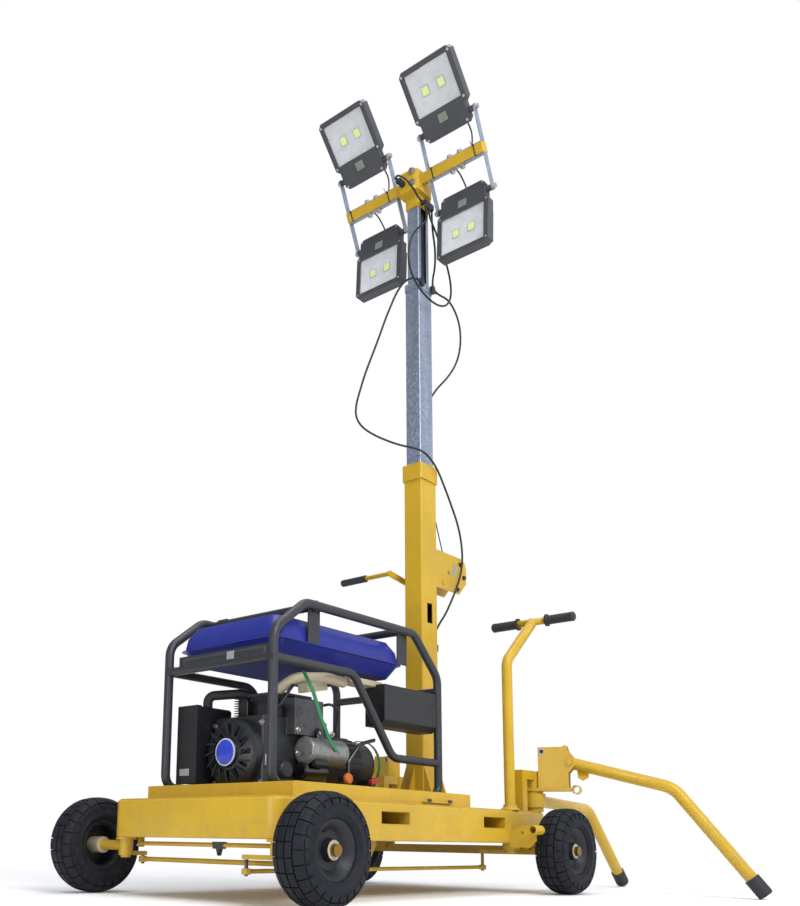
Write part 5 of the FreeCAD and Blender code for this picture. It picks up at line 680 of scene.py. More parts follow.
HEAD_LEAD = (
    (-399, -18.9, 3162.5), (-382, -18.9, 3162.5), (-355.7, 0.2, 3153.8), (-348.8, 29.9, 3135.2),
    (-368.1, 53.3, 3108.6), (-418.9, 56.5, 3086.9), (-462.5, 50.5, 3071), (-495, 50.5, 3071),
)
HEAD_LOOP = (
    (-506, 58.5, 3058), (-506, 58.5, 3020), (-498, 68, 2982), (-462, 75, 2936), (-406, 76, 2884),
    (-357, 76, 2812), (-334, 76, 2728), (-348, 76, 2656), (-394, 76, 2610), (-455, 76, 2586),
    (-522, 76, 2577), (-587, 76, 2586), (-641, 76, 2616), (-674, 76, 2668), (-676, 76, 2736),
    (-650, 76, 2806), (-612, 75, 2872), (-574, 71, 2934), (-540, 66, 2984), (-528, 58.5, 3020),
    (-528, 58.5, 3058),
)


def route(name, points):
    """Smooth curve whose control points are the corners of a route."""
    curve = bpy.data.curves.new(name, "CURVE")
    curve.dimensions = "3D"
    spline = curve.splines.new("NURBS")
    spline.points.add(len(points) - 1)
    for knot, place in zip(spline.points, points):
        knot.co = (*at(*place), 1)
    spline.order_u = 3
    spline.use_endpoint_u = True
    curve.resolution_u = 8
    return curve


def cable(name, points, diameter, bodies, nodes, stiffness, lay):
    """Cable as a closed tube along its smooth route; between two bodies it is left on neither of them."""
    curve = route(name, points)
    line = plain_mesh(curve)
    bpy.data.meshes.remove(line)
    curve.bevel_depth = diameter * MM / 2
    curve.bevel_resolution = 4
    curve.use_fill_caps = True
    tube = plain_mesh(curve)
    bpy.data.curves.remove(curve)
    form = Form()
    form.add(tube, "cable")
    bmesh.ops.remove_doubles(form.bm, verts=form.bm.verts, dist=0.00005)
    bmesh.ops.recalc_face_normals(form.bm, faces=form.bm.faces)
    made = bpy.data.objects.new(name, form.mesh(name))
    bpy.context.scene.collection.objects.link(made)
    if len(bodies) == 2:
        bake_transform(made)
    else:
        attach(made, bodies[0])
    if nodes:
        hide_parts(*nodes)


def relief(form, place, way, ribs):
    """Tapered, ribbed sleeve where a cable leaves a fitting; without ribs it is a low collar."""
    radius = CABLE / 2
    profile = [(-1, radius + 4), (3, radius + 4), (4, radius + 3)]
    for i in range(ribs):
        profile += [(6 + 5 * i, radius + 2.8 - 0.5 * i), (8 + 5 * i, radius + 1.4 - 0.3 * i)]
    end = 5 + 5.25 * ribs
    form.lathe([*profile, (end, radius + 0.4), (end, radius - 0.5)], place, way, "rubber", 24)


# Each cable: name, route, diameter, bodies at its ends, nodes that it replaces, stiffness and lay
CABLES = (
    ("mast_power_cable", MAST_CABLE, CABLE, ("chassis", "first_stage"), ("mast_cable",), "medium", "hanging"),
    ("rear_power_cable", REAR_CABLE, CABLE, ("chassis", "first_stage"), ("rear_cable",), "medium", "hanging"),
    ("stage_link_cable", LINK_CABLE, CABLE, ("first_stage", "second_stage"), ("link_cable",), "medium", "hanging"),
    ("winch_rope", WINCH_ROPE, 5, ("chassis",), (), "stiff", "taut"),
    ("head_lead", HEAD_LEAD, CABLE, ("second_stage",), ("head_cable",), "medium", "hanging"),
    ("head_loop", HEAD_LOOP, CABLE, ("second_stage",), (), "medium", "hanging"),
)
# Where a cable leaves a fitting, and which way, by body; the link cable has low collars
SLEEVES = {
    "chassis": ((MAST_CABLE[0], Z), (REAR_CABLE[0], Z)),
    "first_stage": ((MAST_CABLE[-1], X), (REAR_CABLE[-1], -X), (LINK_CABLE[0], Z)),
    "second_stage": ((LINK_CABLE[-1], -Z), (HEAD_LOOP[0], -Z), (HEAD_LOOP[-1], -Z), (HEAD_LEAD[0], X),
                     (HEAD_LEAD[-1], X)),
}
LAMP_LEAD = 7
LEAD_EXIT = Vector((-64, 40, -6))
LEAD_STAND = {"upper": 40, "lower": 60}
GLAND = ((0, 9), (5, 9), (7, 7), (7, 3.2))


class TOWER_OT_cables(Operator):
    """Power cables of the mast, lamp leads and winch rope, with their glands and strain reliefs"""

    bl_idname = "tower.cables"
    bl_label = "Cables"

    def execute(self, context):
        for row in CABLES:
            cable(*row)
        for body, places in SLEEVES.items():
            form = Form()
            for place, way in places:
                relief(form, place, way, 0 if place in LINK_CABLE else 4)
            form.piece("cable_sleeves_" + body, body)
        form = Form()
        for (row, side), (way, y) in LAMPS.items():
            turn = lamp_turn(row)
            back = turn @ -X
            start = lamp_pivot(row, side) + turn @ LEAD_EXIT
            gland = CROSSBAR + Y * (y + 40 * way) - BAR_OUT * CROSSBAR_HALF
            low, high = start + back * 30, gland - BAR_OUT * LEAD_STAND[row]
            rows = (start, low, low.lerp(high, 0.25) - BAR_OUT * 40 + back * 10,
                    low.lerp(high, 0.5) - BAR_OUT * 50, high, gland)
            form.lathe(GLAND, gland, -BAR_OUT, "black", 20)
            cable("lamp_lead_{}_{}".format(row, side), rows, LAMP_LEAD,
                  ("{}_{}_lamp".format(row, side), "second_stage"), (), "medium", "hanging")
        form.piece("crossbar_glands", "second_stage")
        return {"FINISHED"}


# Cart
LUG_X = -550
LUG_EYE = ((-5, 15), (-3.5, 16.5), (0, 17), (3.5, 16.5), (5, 15), (5, 7.6), (-5, 7.6))
MAST_X = -522
WELD_STEPS = 8


class TOWER_OT_cart(Operator):
    """Frame, deck, fork pockets, generator tray and the plates welded to them"""

    bl_idname = "tower.cart"
    bl_label = "Cart"

    def execute(self, context):
        edge = context.scene.tower_sizes.edge
        form = Form()
        form.cad("chassis_frame", "yellow")
        for side in (-1, 1):
            form.tube(((LUG_X, 386 * side, 195), (LUG_X, 386 * side, 276)), 3.2, "yellow", steps=WELD_STEPS)
            form.lathe(LUG_EYE, (LUG_X, 441 * side, 230.8), X, "yellow", 24, True)
        form.piece("chassis_frame_painted", "chassis", ("chassis_frame",), edge)
        dressed("deck_plate", "yellow", edge)
        # The lower faces inside one fork pocket take the dull brass finish: there its brown is painted shade for the
        # pocket's dark inside
        dressed("fork_pockets", "yellow", edge, "painted", ("brass_and_pocket_shade", lambda p: 90 < p.x < 202 and p.z < 124))
        dressed("generator_tray", "yellow", edge)

        form = Form()
        bolts(form, [((x, 367 * side, 331), Z) for side in (-1, 1) for x in (-160, -30)], "dark_steel", 13)
        bolts(form, [((MAST_X + 105 * i, 85 * j, 330), Z) for i in (-1, 1) for j in (-1, 1)], "zinc", 19)
        form.piece("deck_bolts", "chassis")
        dressed("front_cross_rod", "yellow", edge, "painted", ("dark_steel", lambda p: abs(p.y - 60) < 32))
        dressed("rear_axle", "yellow", edge, "painted", ("brass_and_pocket_shade", lambda p: abs(p.y) > 560))
        return {"FINISHED"}


# Wheels
WHEEL_X, WHEEL_Y, AXLE_Z = 732.5, 526, 165
HUB_REACH = 0.0285
# Profiles of (along the axle, radius)
TYRE_HALF = ((0, 159), (16, 158.4), (30, 156), (42, 151), (51, 143), (57, 132), (60, 119), (59.6, 108), (60.6, 106),
             (60.4, 103), (58, 101), (54, 92), (48, 87.5), (42, 86))
CROWN_BLOCK = ((2, 157), (25, 155.5), (25.5, 162), (23, 163.4), (4, 164.8), (2, 163.6))
SHOULDER_BLOCK = ((29, 154.5), (50, 141.5), (56, 146), (54, 150.5), (44, 158), (31.5, 162.6), (29, 161))
SIDE_BLOCK = ((53, 138), (58, 125), (60.6, 127.5), (60.4, 131), (57.6, 140.6), (55.8, 142))
RIM_BEAD = ((8, 84.5), (12, 82), (12, 78), (8, 76))
VALVE = ((0, 4.5), (14, 4), (16, 3), (24, 3), (25, 2))
VALVE_PLACE = Vector((0.5, 0, 0.86)).normalized() * 60
# Each row of tread: block, its share of the pitch, and how far the other half is moved round
TREAD = ((CROWN_BLOCK, 0.9, 0.0), (SHOULDER_BLOCK, 0.9, 0.5), (SIDE_BLOCK, 0.78, 0.5))
TREAD_DEPTH = 6


class TOWER_OT_wheels(Operator):
    """Tyres with block tread, dished rims, hubs and valves"""

    bl_idname = "tower.wheels"
    bl_label = "Wheels"

    def execute(self, context):
        sizes = context.scene.tower_sizes
        pitch = FULL_TURN / sizes.tread_pitches
        sunk = TREAD_DEPTH - sizes.tread_depth / MM
        profile = [(-along, radius) for along, radius in reversed(TYRE_HALF[1:])] + list(TYRE_HALF)
        for wheel, x, way in (("front_near", WHEEL_X, 1), ("front_far", WHEEL_X, -1), ("rear_near", -WHEEL_X, 1),
                              ("rear_far", -WHEEL_X, -1)):
            centre = (x, WHEEL_Y * way, AXLE_Z)
            form = Form()
            form.lathe(profile, centre, Y, "tyre", 96, True)
            for block, share, phase in TREAD:
                for half in (-1, 1):
                    template = Form()
                    template.skin([[sector(centre, radius - sunk, pitch * (turn * share + phase * (half > 0)),
                                           along * half) for along, radius in block]
                                   for turn in (-0.5, 0.0, 0.5)], "tyre")
                    copies(form, template, "tyre", sizes.tread_pitches, angle=pitch, axis=Y, centre=centre)
            form.piece("tyre_{}_treaded".format(wheel), wheel + "_wheel", ("tyre_" + wheel,))

            form = Form()
            faces = form.cad("rim_" + wheel, "rim")
            axle = at(*centre)
            form.paint([face for face in faces
                        if all(math.hypot(v.co.x - axle.x, v.co.z - axle.z) < HUB_REACH for v in face.verts)],
                       "pale_plastic")
            form.lathe(RIM_BEAD, centre, Y * way, "rim", 72, True)
            form.lathe(VALVE, Vector(centre) + VALVE_PLACE + Y * 16 * way, Y * way, "rubber", 12)
            form.piece("rim_{}_painted".format(wheel), wheel + "_wheel", ("rim_" + wheel,))
        return {"FINISHED"}


# Steering
TBAR_X, TBAR_Y, TBAR_Z = -835, 355, 1122
TBAR_GRIP = [(0, 15.2), (0, 26), (7, 26), (9, 21), *grip_ribs(11, 12, 9, (0, 2, 6, 8), 20, 18.6), (118, 20),
             (122, 20), (127, 15), (127, 0)]


class TOWER_OT_steering(Operator):
    """Column with its T-bar grips, knuckles and rods"""

    bl_idname = "tower.steering"
    bl_label = "Steering"

    def execute(self, context):
        edge = context.scene.tower_sizes.edge
        dressed("steering_column", "yellow", None, "painted", ("brass_and_pocket_shade", lambda p: p.z < 130 and abs(p.y - 225) < 30))
        form = Form()
        for side in (-1, 1):
            form.lathe(TBAR_GRIP, (TBAR_X, TBAR_Y + 64 * side, TBAR_Z), Y * side, "rubber", 40)
        form.piece("steering_grips_ribbed", "steering_handle", ("steering_grips",))
        for side in ("near", "far"):
            dressed("knuckle_" + side, "yellow", edge, "painted", ("brass_and_pocket_shade", lambda p: abs(p.y) > 558),
                    ("dark_steel", lambda p: p.z < 131 and abs(p.y) < 500))
        for rod in ("tie_rod", "drag_rod"):
            dressed(rod, "yellow", edge)
        return {"FINISHED"}


# Legs
POST = Vector((-822, 347, 566))
BRACKET_TURN = math.radians(108.3)
HOLE_RING = ((8, 13), (9.5, 12.5), (9.5, 8.5), (7.2, 8.5))
# Black disc across the mouth of each hole: painted shade for the dark inside of the hole
HOLE_SHADE_DISC = ((7.9, 8.6), (8.2, 8.6), (8.2, 0))


class TOWER_OT_legs(Operator):
    """Corner posts, leg brackets and the folding legs with their feet"""

    bl_idname = "tower.legs"
    bl_label = "Legs"

    def execute(self, context):
        edge = context.scene.tower_sizes.edge
        dressed("corner_posts", "yellow", edge)
        dressed("leg_brackets", "yellow", edge)
        form = Form()
        for side in (-1, 1):
            out = Vector((math.cos(BRACKET_TURN), math.sin(BRACKET_TURN) * side, 0))
            for way in (-1, 1):
                face = Vector((-out.y, out.x, 0)) * way
                ring = Vector((POST.x, POST.y * side, POST.z)) + out * 40 + face * 24.6
                form.lathe(HOLE_RING, ring, face, "label", 28, True)
                # The black disc in each hole is painted shade
                form.lathe(HOLE_SHADE_DISC, ring, face, "black", 24)
        form.piece("bracket_hole_rings_and_shade_discs", "chassis")
        for side in ("near", "far"):
            dressed("side_leg_" + side, "yellow")
            dressed("side_foot_" + side, "rubber", 0.003, "moulded")
        dressed("rear_leg", "yellow")
        dressed("rear_foot", "rubber", 0.003, "moulded")
        return {"FINISHED"}


# Mast
CROSSBAR = Vector((-488, 0, 3182))
CROSSBAR_LEAN = math.radians(24)
CROSSBAR_HALF = 22
BAR_UP = Vector((math.sin(CROSSBAR_LEAN), 0, math.cos(CROSSBAR_LEAN)))
BAR_OUT = Vector((math.cos(CROSSBAR_LEAN), 0, -math.sin(CROSSBAR_LEAN)))
BRACKET_REACH = 168
LAMP_Y = 232


class TOWER_OT_mast(Operator):
    """Mast base, outer tube, collar and the two galvanised stages"""

    bl_idname = "tower.mast"
    bl_label = "Mast"

    def execute(self, context):
        edge = context.scene.tower_sizes.edge
        form = Form()
        form.cad("mast_base", "yellow")
        for side in (-1, 1):
            for start, end in (((-56, 46.5 * side), (56, 46.5 * side)), ((59.5 * side, -43), (59.5 * side, 43))):
                form.tube([(MAST_X + x, y, 331.5) for x, y in (start, end)], 3.4, "yellow", steps=WELD_STEPS)
        form.piece("mast_base_painted", "chassis", ("mast_base",), edge)
        dressed("mast_outer", "yellow", edge, "painted", ("black", lambda p: p.x < -580.5))
        dressed("mast_collar", "yellow_high", edge)
        form = Form()
        # Black plate behind the mast window is painted shade for the dark inside of the tube; the bush is where the
        # winch rope goes in
        form.block((-574.8, 0, 1151), (1.6, 46, 100), "black")
        form.lathe(((0, 8), (3, 8), (4, 6.5), (4, 3)), (-580, 8, 1711), -X, "black", 20)
        form.piece("window_shade_plate_and_rope_bush", "chassis")
        dressed("mast_stage_1", "galvanised", edge, "galvanised", ("black", lambda p: p.y > 41.2))
        dressed("mast_stage_2", "galvanised", edge, "galvanised")
        form = Form()
        # Black strip inside the second stage, behind its slot: painted shade for the dark inside of the tube
        form.block((MAST_X, 20, 2496), (40, 4, 1236), "black")
        form.piece("slot_shade_strip", "second_stage")
        return {"FINISHED"}


# Winch
CRANK_GRIP = [(0, 10.3), (0, 15), (3, 16), *grip_ribs(9, 8, 12, (0, 3, 6, 9), 15.8, 14.6), (118, 16), (134, 15),
              (138, 11), (138, 0)]
ROPE_TURN = [(3 * math.cos(math.pi * i / 5), 36 + 3 * math.sin(math.pi * i / 5)) for i in range(10)]


class TOWER_OT_winch(Operator):
    """Hand winch: side plates, wound rope, crank and grip"""

    bl_idname = "tower.winch"
    bl_label = "Winch"

    def execute(self, context):
        dressed("winch_frame", "yellow", context.scene.tower_sizes.edge)
        form = Form()
        bolts(form, [((x, 42 * j, z), Y * j) for x, z in ((-798, 1365), (-744, 1300), (-770, 1420))
                     for j in (-1, 1)], "dark_steel", 13)
        form.piece("winch_bolts", "chassis")
        form = Form()
        form.block((-722, 42.4, 1384), (24, 0.8, 56), "label")
        form.piece("blank_winch_label", "chassis")

        form = Form()
        form.cad("winch_drum", "zinc")
        template = Form()
        template.lathe(ROPE_TURN, (-678, -24, 1365), Y, "dark_steel", 48, True)
        copies(form, template, "dark_steel", 9, (0, 6, 0))
        form.piece("winch_drum_wound", "drum", ("winch_drum",))

        dressed("winch_crank", "yellow")
        form = Form()
        form.lathe(CRANK_GRIP, (-443.8, -236, 1335.4), -Y, "rubber", 32)
        form.piece("winch_grip_ribbed", "crank", ("winch_grip",))
        return {"FINISHED"}


# Head
class TOWER_OT_head(Operator):
    """Faceted head block, leaning crossbar, lamp brackets, ties and bolts"""

    bl_idname = "tower.head"
    bl_label = "Mast head"

    def execute(self, context):
        edge = context.scene.tower_sizes.edge
        dressed("head_block", "yellow_high", edge, "painted",
                ("rubber", lambda p: p.x > -434.5 and abs(p.y + 18.9) < 20),
                ("black", lambda p: p.y > 37.2 and p.z < 3084.5))
        dressed("crossbar", "yellow_high", edge)
        dressed("lamp_brackets", "galvanised", 0.0006, "galvanised")

        form = Form()
        for y in (-346, -128, 118, 336):
            tie = CROSSBAR + Y * y
            for way, across in ((BAR_UP, BAR_OUT), (-BAR_UP, BAR_OUT), (BAR_OUT, BAR_UP), (-BAR_OUT, BAR_UP)):
                form.block(tie + way * 22.9, (46, 5, 1.6), "black",
                           Matrix((across, Y, across.cross(Y))).transposed())
            form.block(tie + BAR_OUT * 24 + BAR_UP * 20, (6, 7, 7), "black",
                       Matrix((BAR_OUT, Y, BAR_OUT.cross(Y))).transposed())
            tail = tie + BAR_OUT * 26 + BAR_UP * 20
            form.tube((tail, tail + BAR_OUT * 14 + BAR_UP * 4, tail + BAR_OUT * 20 + BAR_UP * 16), 1.4, "black", 5, 8)
        form.piece("crossbar_ties", "second_stage")

        form = Form()
        rows = []
        for way in (1, -1):
            for y in (-LAMP_Y, LAMP_Y):
                rows += [(CROSSBAR + BAR_UP * 27 * way + Y * (y + 26 * j), BAR_UP * way) for j in (-1, 1)]
                pivot = CROSSBAR + BAR_UP * BRACKET_REACH * way + Y * y
                rows += [(pivot + Y * 143.4 * j, Y * j) for j in (-1, 1)]
        rows += [((-435, 30, z), X) for z in (3150, 3208)]
        bolts(form, rows, "zinc", 19)
        form.piece("head_bolts", "second_stage")
        return {"FINISHED"}


# Floodlights
LAMPS = {("upper", "near"): (1, LAMP_Y), ("upper", "far"): (1, -LAMP_Y), ("lower", "near"): (-1, LAMP_Y),
         ("lower", "far"): (-1, -LAMP_Y)}
UPPER_TILT, LOWER_TILT = math.radians(41), math.radians(-3)
# Heights above a lamp's pivot line: the bottom of its driver part, and the middle of its window
PIVOT_DROP = 54
WINDOW_MIDDLE = 102.5
WINDOW_CORNERS = ((-108.5, 13.5), (108.5, 13.5), (108.5, 191.5), (-108.5, 191.5))
LAMP_GLAND = ((0, 11), (3, 11), (4, 9), (14, 9), (15, 7), (22, 6), (22, 0))


def lamp_turn(row):
    """Turn of a floodlight on its bracket: tilted forwards, the lower row hung upside down."""
    if row == "upper":
        return Matrix.Rotation(UPPER_TILT, 3, "Y")
    return Matrix.Rotation(LOWER_TILT, 3, "Y") @ Matrix.Rotation(math.pi, 3, "X")


def lamp_pivot(row, side):
    """Middle of a floodlight's pivot line, in millimetres."""
    way, y = LAMPS[row, side]
    return CROSSBAR + BAR_UP * BRACKET_REACH * way + Y * y


class TOWER_OT_lamps(Operator):
    """Four floodlights: die-cast housing, reflector tray, light chips, pane and fins"""

    bl_idname = "tower.lamps"
    bl_label = "Floodlights"

    def execute(self, context):
        sizes = context.scene.tower_sizes
        for row, side in LAMPS:
            name = "{}_{}".format(row, side)
            body = name + "_lamp"
            turn, pivot = lamp_turn(row), lamp_pivot(row, side)

            def spot(x, across, up):
                return pivot + turn @ Vector((x, across, up + PIVOT_DROP))

            form = Form()
            form.cad("lamp_housing_" + name, "lamp")
            form.block(spot(22.4, 0, -26), (1.6, 50, 42), "lamp", turn)
            form.block(spot(22.9, 0, -26), (1.6, 43, 35), "sensor", turn)
            template = Form()
            template.block(spot(-33, -100, 102), (22, 2.4, 176), "lamp", turn)
            copies(form, template, "lamp", sizes.lamp_fins, turn @ Y * 200 / (sizes.lamp_fins - 1))
            screws = [(120 * i, z) for i in (-1, 1) for z in (6, 196)] + [(-100, -84), (100, -84)]
            bolts(form, [(spot(22, y, z), turn @ X) for y, z in screws], "zinc", 7, 3, 0.8)
            form.lathe(LAMP_GLAND, spot(-42, 40, -60), turn @ -X, "black", 20)
            form.piece("floodlight_housing_" + name, body, ("lamp_housing_" + name,), 0.001)

            form = Form()
            outer = [at(*spot(14, u, v)) for u, v in WINDOW_CORNERS]
            inner = [at(*spot(8, u * 0.86, WINDOW_MIDDLE + (v - WINDOW_MIDDLE) * 0.83)) for u, v in WINDOW_CORNERS]
            back = turn @ X * -0.8 * MM
            form.skin([inner, outer, [p + back for p in outer], [p + back for p in inner]], "tray")
            form.piece("reflector_" + name, body)
            form = Form()
            for u in (-40, 40):
                form.block(spot(9.6, u, 102), (2.4, 30, 34), "chip", turn)
                form.block(spot(8.6, u, 102), (1.6, 40, 44), "label", turn)
            form.piece("light_chips_" + name, body)

            form = Form()
            form.cad("lamp_glass_" + name, "glass")
            form.piece("pane_" + name, body, ("lamp_glass_" + name,))
        return {"FINISHED"}


# Generator
GEN_Y, SHAFT_Z, PANEL_Z = -36, 478, 793
SLEEVE = ((0, 17), (3, 19.5), (40, 19.5), (43, 17), (43, 16.2), (0, 16.2))
END_SLEEVE = ((0, 16.3), (2, 18.5), (26, 18.5), (28, 16.3))


class TOWER_OT_generator_frame(Operator):
    """Tube cage of the generator, its feet, sleeves and front panel"""

    bl_idname = "tower.generator_frame"
    bl_label = "Generator frame"

    def execute(self, context):
        dressed("generator_frame", "tube", 0.001, "coated", ("rubber", lambda p: p.z < 344))
        form = Form()
        for y in (178, -258):
            form.lathe(SLEEVE, (414, y, 975), Y, "rubber", 28, True)
        for y in (202, -294):
            form.lathe(END_SLEEVE, (624, y, PANEL_Z - 23), Y, "rubber", 28)
        form.piece("frame_sleeves", "chassis")

        form = Form()
        for x, y, size, finish in ((631, -6, (3, 400, 30), "lamp"), (631, -6, (6, 380, 16), "tube"),
                                   (632.4, 30, (5, 34, 30), "label")):
            form.block((x, y, PANEL_Z), size, finish)
        form.piece("front_pressed_panel", "chassis", edge=0.0014)
        return {"FINISHED"}


# Filler cap: place, points round it, radius of its ribs and of the gaps between them, and radius of its top
CAP_X, CAP_POINTS = 444, 144
CAP_RIBS, CAP_TOP = (41.3, 41.3, 39.6, 39.6), (35,)


class TOWER_OT_tank(Operator):
    """Fuel tank with its seam flange, pressed top and filler cap"""

    bl_idname = "tower.tank"
    bl_label = "Fuel tank"

    def execute(self, context):
        # Faces below 794 mm take the matt underside finish, whose darker blue is painted shade
        dressed("fuel_tank", "tank", 0.003, "painted", ("tank_underside_shade", lambda p: p.z < 794))
        form = Form()
        rings = []
        for radii, z in ((CAP_RIBS, 934), (CAP_RIBS, 950), (CAP_TOP, 954.5)):
            ring = []
            for i in range(CAP_POINTS):
                angle, radius = FULL_TURN * i / CAP_POINTS, radii[i % len(radii)]
                ring.append(at(CAP_X + radius * math.cos(angle), GEN_Y + radius * math.sin(angle), z))
            rings.append(ring)
        form.skin(rings, "black")
        form.piece("filler_cap", "chassis")
        return {"FINISHED"}


# Round parts of the fan cover: profile of (along, radius) and finish
FAN_PARTS = (
    (((-2, 52), (5, 50), (8, 48.5), (8, 0)), "black"),
    (((7, 47), (10, 46.5), (10.4, 45), (10.4, 41.5), (9, 41)), "ring"),
    (((8, 42), (10.6, 42), (11.8, 40), (12.2, 0)), "disc"),
)
CYLINDER_HEIGHT = 78
LOUVRE_RADIUS, ALTERNATOR_RADIUS, ALTERNATOR_RIBS = 82, 97.5, 24


class TOWER_OT_engine(Operator):
    """Engine block with cooling fins, fan cover, disc, air cleaner, exhaust and alternator"""

    bl_idname = "tower.engine"
    bl_label = "Engine"

    def execute(self, context):
        sizes = context.scene.tower_sizes
        form = Form()
        faces = form.cad("engine_block", "shroud")
        form.repaint(faces, "casting", lambda p: p.z > 605 or p.y > 90)
        template = Form()
        template.block((342, GEN_Y, 614), (204, 214, 2.6), "casting")
        copies(form, template, "casting", sizes.cylinder_fins, (0, 0, CYLINDER_HEIGHT / sizes.cylinder_fins))
        form.piece("engine_block_cast", "chassis", ("engine_block",), 0.0015)

        form = Form()
        form.cad("recoil_cover", "shroud")
        template = Form()
        template.block((575, GEN_Y, SHAFT_Z + LOUVRE_RADIUS), (6, 5, 46), "black", Matrix.Rotation(0.35, 3, "X"))
        copies(form, template, "black", sizes.louvres, angle=FULL_TURN / sizes.louvres, axis=X,
               centre=(575, GEN_Y, SHAFT_Z))
        for profile, finish in FAN_PARTS:
            form.lathe(profile, (574, GEN_Y, SHAFT_Z), X, finish, 56)
        form.piece("fan_cover_finished", "chassis", ("recoil_cover",), 0.001)

        form = Form()
        form.cad("air_filter_box", "black")
        form.block((588, -214, 512), (20, 101, 272), "black")
        form.block((598.4, -222, 416), (0.9, 48, 24), "label")
        form.tube(((520, -196, 640), (520, -196, 690), (440, -110, 700), (400, -80, 690)), 17, "rubber", 32)
        form.piece("air_cleaner_finished", "chassis", ("air_filter_box",), 0.0025)

        form = Form()
        form.cad("muffler", "muffler")
        for x in (198, 290, 372):
            form.lathe(((-3, 46.4), (-2, 48.4), (2, 48.4), (3, 46.4)), (x, 137, 492), X, "muffler", 48)
        form.piece("muffler_finished", "chassis", ("muffler",), 0.0015)

        form = Form()
        form.cad("alternator", "shroud")
        form.lathe(((0, 97.4), (0, 99), (16, 99), (16, 97.4)), (-150, GEN_Y, SHAFT_Z), X, "green", 72, True)
        template = Form()
        template.block((60, GEN_Y, SHAFT_Z + ALTERNATOR_RADIUS), (190, 4, 5), "shroud")
        copies(form, template, "shroud", ALTERNATOR_RIBS, angle=FULL_TURN / ALTERNATOR_RIBS, axis=X,
               centre=(60, GEN_Y, SHAFT_Z))
        form.piece("alternator_finished", "chassis", ("alternator",), 0.001)
        return {"FINISHED"}


# Section of the strap over the ducts, in metres, along its curved run
STRAP = filleted([at(*p) for p in ((430, 176, 752), (392, 186, 690), (356, 192, 600), (300, 190, 520),
                                   (262, 186, 492))], 0.06)
STRAP_RINGS = [[p + X * i * 0.009 + Y * j * 0.0015 for i, j in ((-1, -1), (1, -1), (1, 1), (-1, 1))] for p in STRAP]
# Small parts of the engine by piece: edge, slot, and its shapes as (kind, what the kind takes)
SMALL_PARTS = {
    "pale_ducts": (0.003, "engine_grey", (
        ("tube", ((430, 40, 690), (400, 110, 742), (300, 168, 748), (210, 172, 742)), 19, "pale_plastic", 60),
        ("block", (96, 150, 758), (190, 70, 22), "pale_plastic"),
        ("block", (330, 130, 716), (110, 44, 34), "pale_plastic", Matrix.Rotation(0.2, 3, "Y")),
    )),
    "green_strap": (None, "engine_grey", (("skin", STRAP_RINGS, "green"),)),
    "oil_filler_cap": (0.001, "dark_plastic", (
        ("lathe", ((0, 20), (10, 20), (14, 17), (14, 0)), (196, 176, 404), Y, "orange", 10),
        ("lathe", ((-30, 13), (0, 13)), (196, 176, 404), Y, "black", 20),
    )),
    "fuel_tap": (0.001, "dark_plastic", (
        ("block", (44, 178, 404), (46, 14, 18), "red", Matrix.Rotation(0.25, 3, "Y")),
        ("block", (44, 168, 398), (24, 18, 34), "black"),
    )),
    "carburettor_and_pipes": (0.002, "engine_grey", (
        ("lathe", ((0, 0), (0, 17), (22, 17), (24, 22), (40, 22), (42, 15), (56, 15), (56, 0)), (398, -76, 664), X,
         "dark_steel", 28),
        ("block", (452, -70, 640), (30, 40, 52), "dark_steel"),
        ("tube", ((470, 60, 610), (470, 108, 640), (430, 118, 700), (380, 96, 730)), 6, "black", 24),
        ("tube", ((250, 96, 660), (228, 130, 668), (196, 140, 640), (190, 120, 570)), 5, "black", 24),
        ("lathe", ((0, 0), (0, 9), (20, 8), (24, 11), (34, 11), (36, 0)), (300, 127, 520), Y, "black", 20),
        ("block", (470, 60, 625), (56, 60, 40), "black"),
    )),
    "starter_and_filter": (None, "engine_grey", (
        ("lathe", ((-60, 0), (-60, 26), (-54, 29), (46, 29), (50, 24), (60, 24), (60, 0)), (330, 128, 424), X,
         "dark_steel", 36),
        ("lathe", ((-30, 0), (-30, 13), (32, 13), (36, 9), (36, 0)), (330, 170, 446), X, "black", 24),
        ("tube", ((300, 110, 560), (300, 137, 560), (300, 137, 530)), 15, "dark_steel", 12),
        ("tube", ((120, 120, 392), (120, 120, 470), (60, 130, 540), (-20, 130, 560)), 7, "dark_steel", 20),
        ("lathe", ((0, 0), (0, 30), (52, 30), (58, 24), (58, 0)), (470, 89, 420), Y, "black", 36),
    )),
}


class TOWER_OT_engine_parts(Operator):
    """Ducts, straps, caps, pipes and screws round the engine, and the bare control panel"""

    bl_idname = "tower.engine_parts"
    bl_label = "Engine parts"

    def execute(self, context):
        for name, (edge, slot, shapes) in SMALL_PARTS.items():
            form = Form()
            for kind, *shape in shapes:
                getattr(form, kind)(*shape)
            form.piece(name, "chassis", edge=edge)

        form = Form()
        rows = [((x, 127, z), Y) for x in (222, 402) for z in (480, 560)]
        rows += [((522, GEN_Y + 112 * i, SHAFT_Z + 100 * j), X) for i in (-1, 1) for j in (-1, 1)]
        bolts(form, rows, "zinc", 12)
        form.piece("engine_screws", "chassis")

        form = Form()
        form.block((500, 89.6, 452), (40, 1, 38), "label")
        form.piece("blank_engine_label", "chassis")
        dressed("control_panel", "black", 0.002, "moulded")
        return {"FINISHED"}




# Stage
def area_light(name, place, target, size, power):
    """Soft lamp panel that faces a target."""
    light = bpy.data.lights.new(name, "AREA")
    light.size = size
    light.energy = power
    made = bpy.data.objects.new(name, light)
    made.location = place
    made.rotation_euler = (Vector(target) - Vector(place)).to_track_quat("-Z", "Y").to_euler()
    bpy.context.scene.collection.objects.link(made)


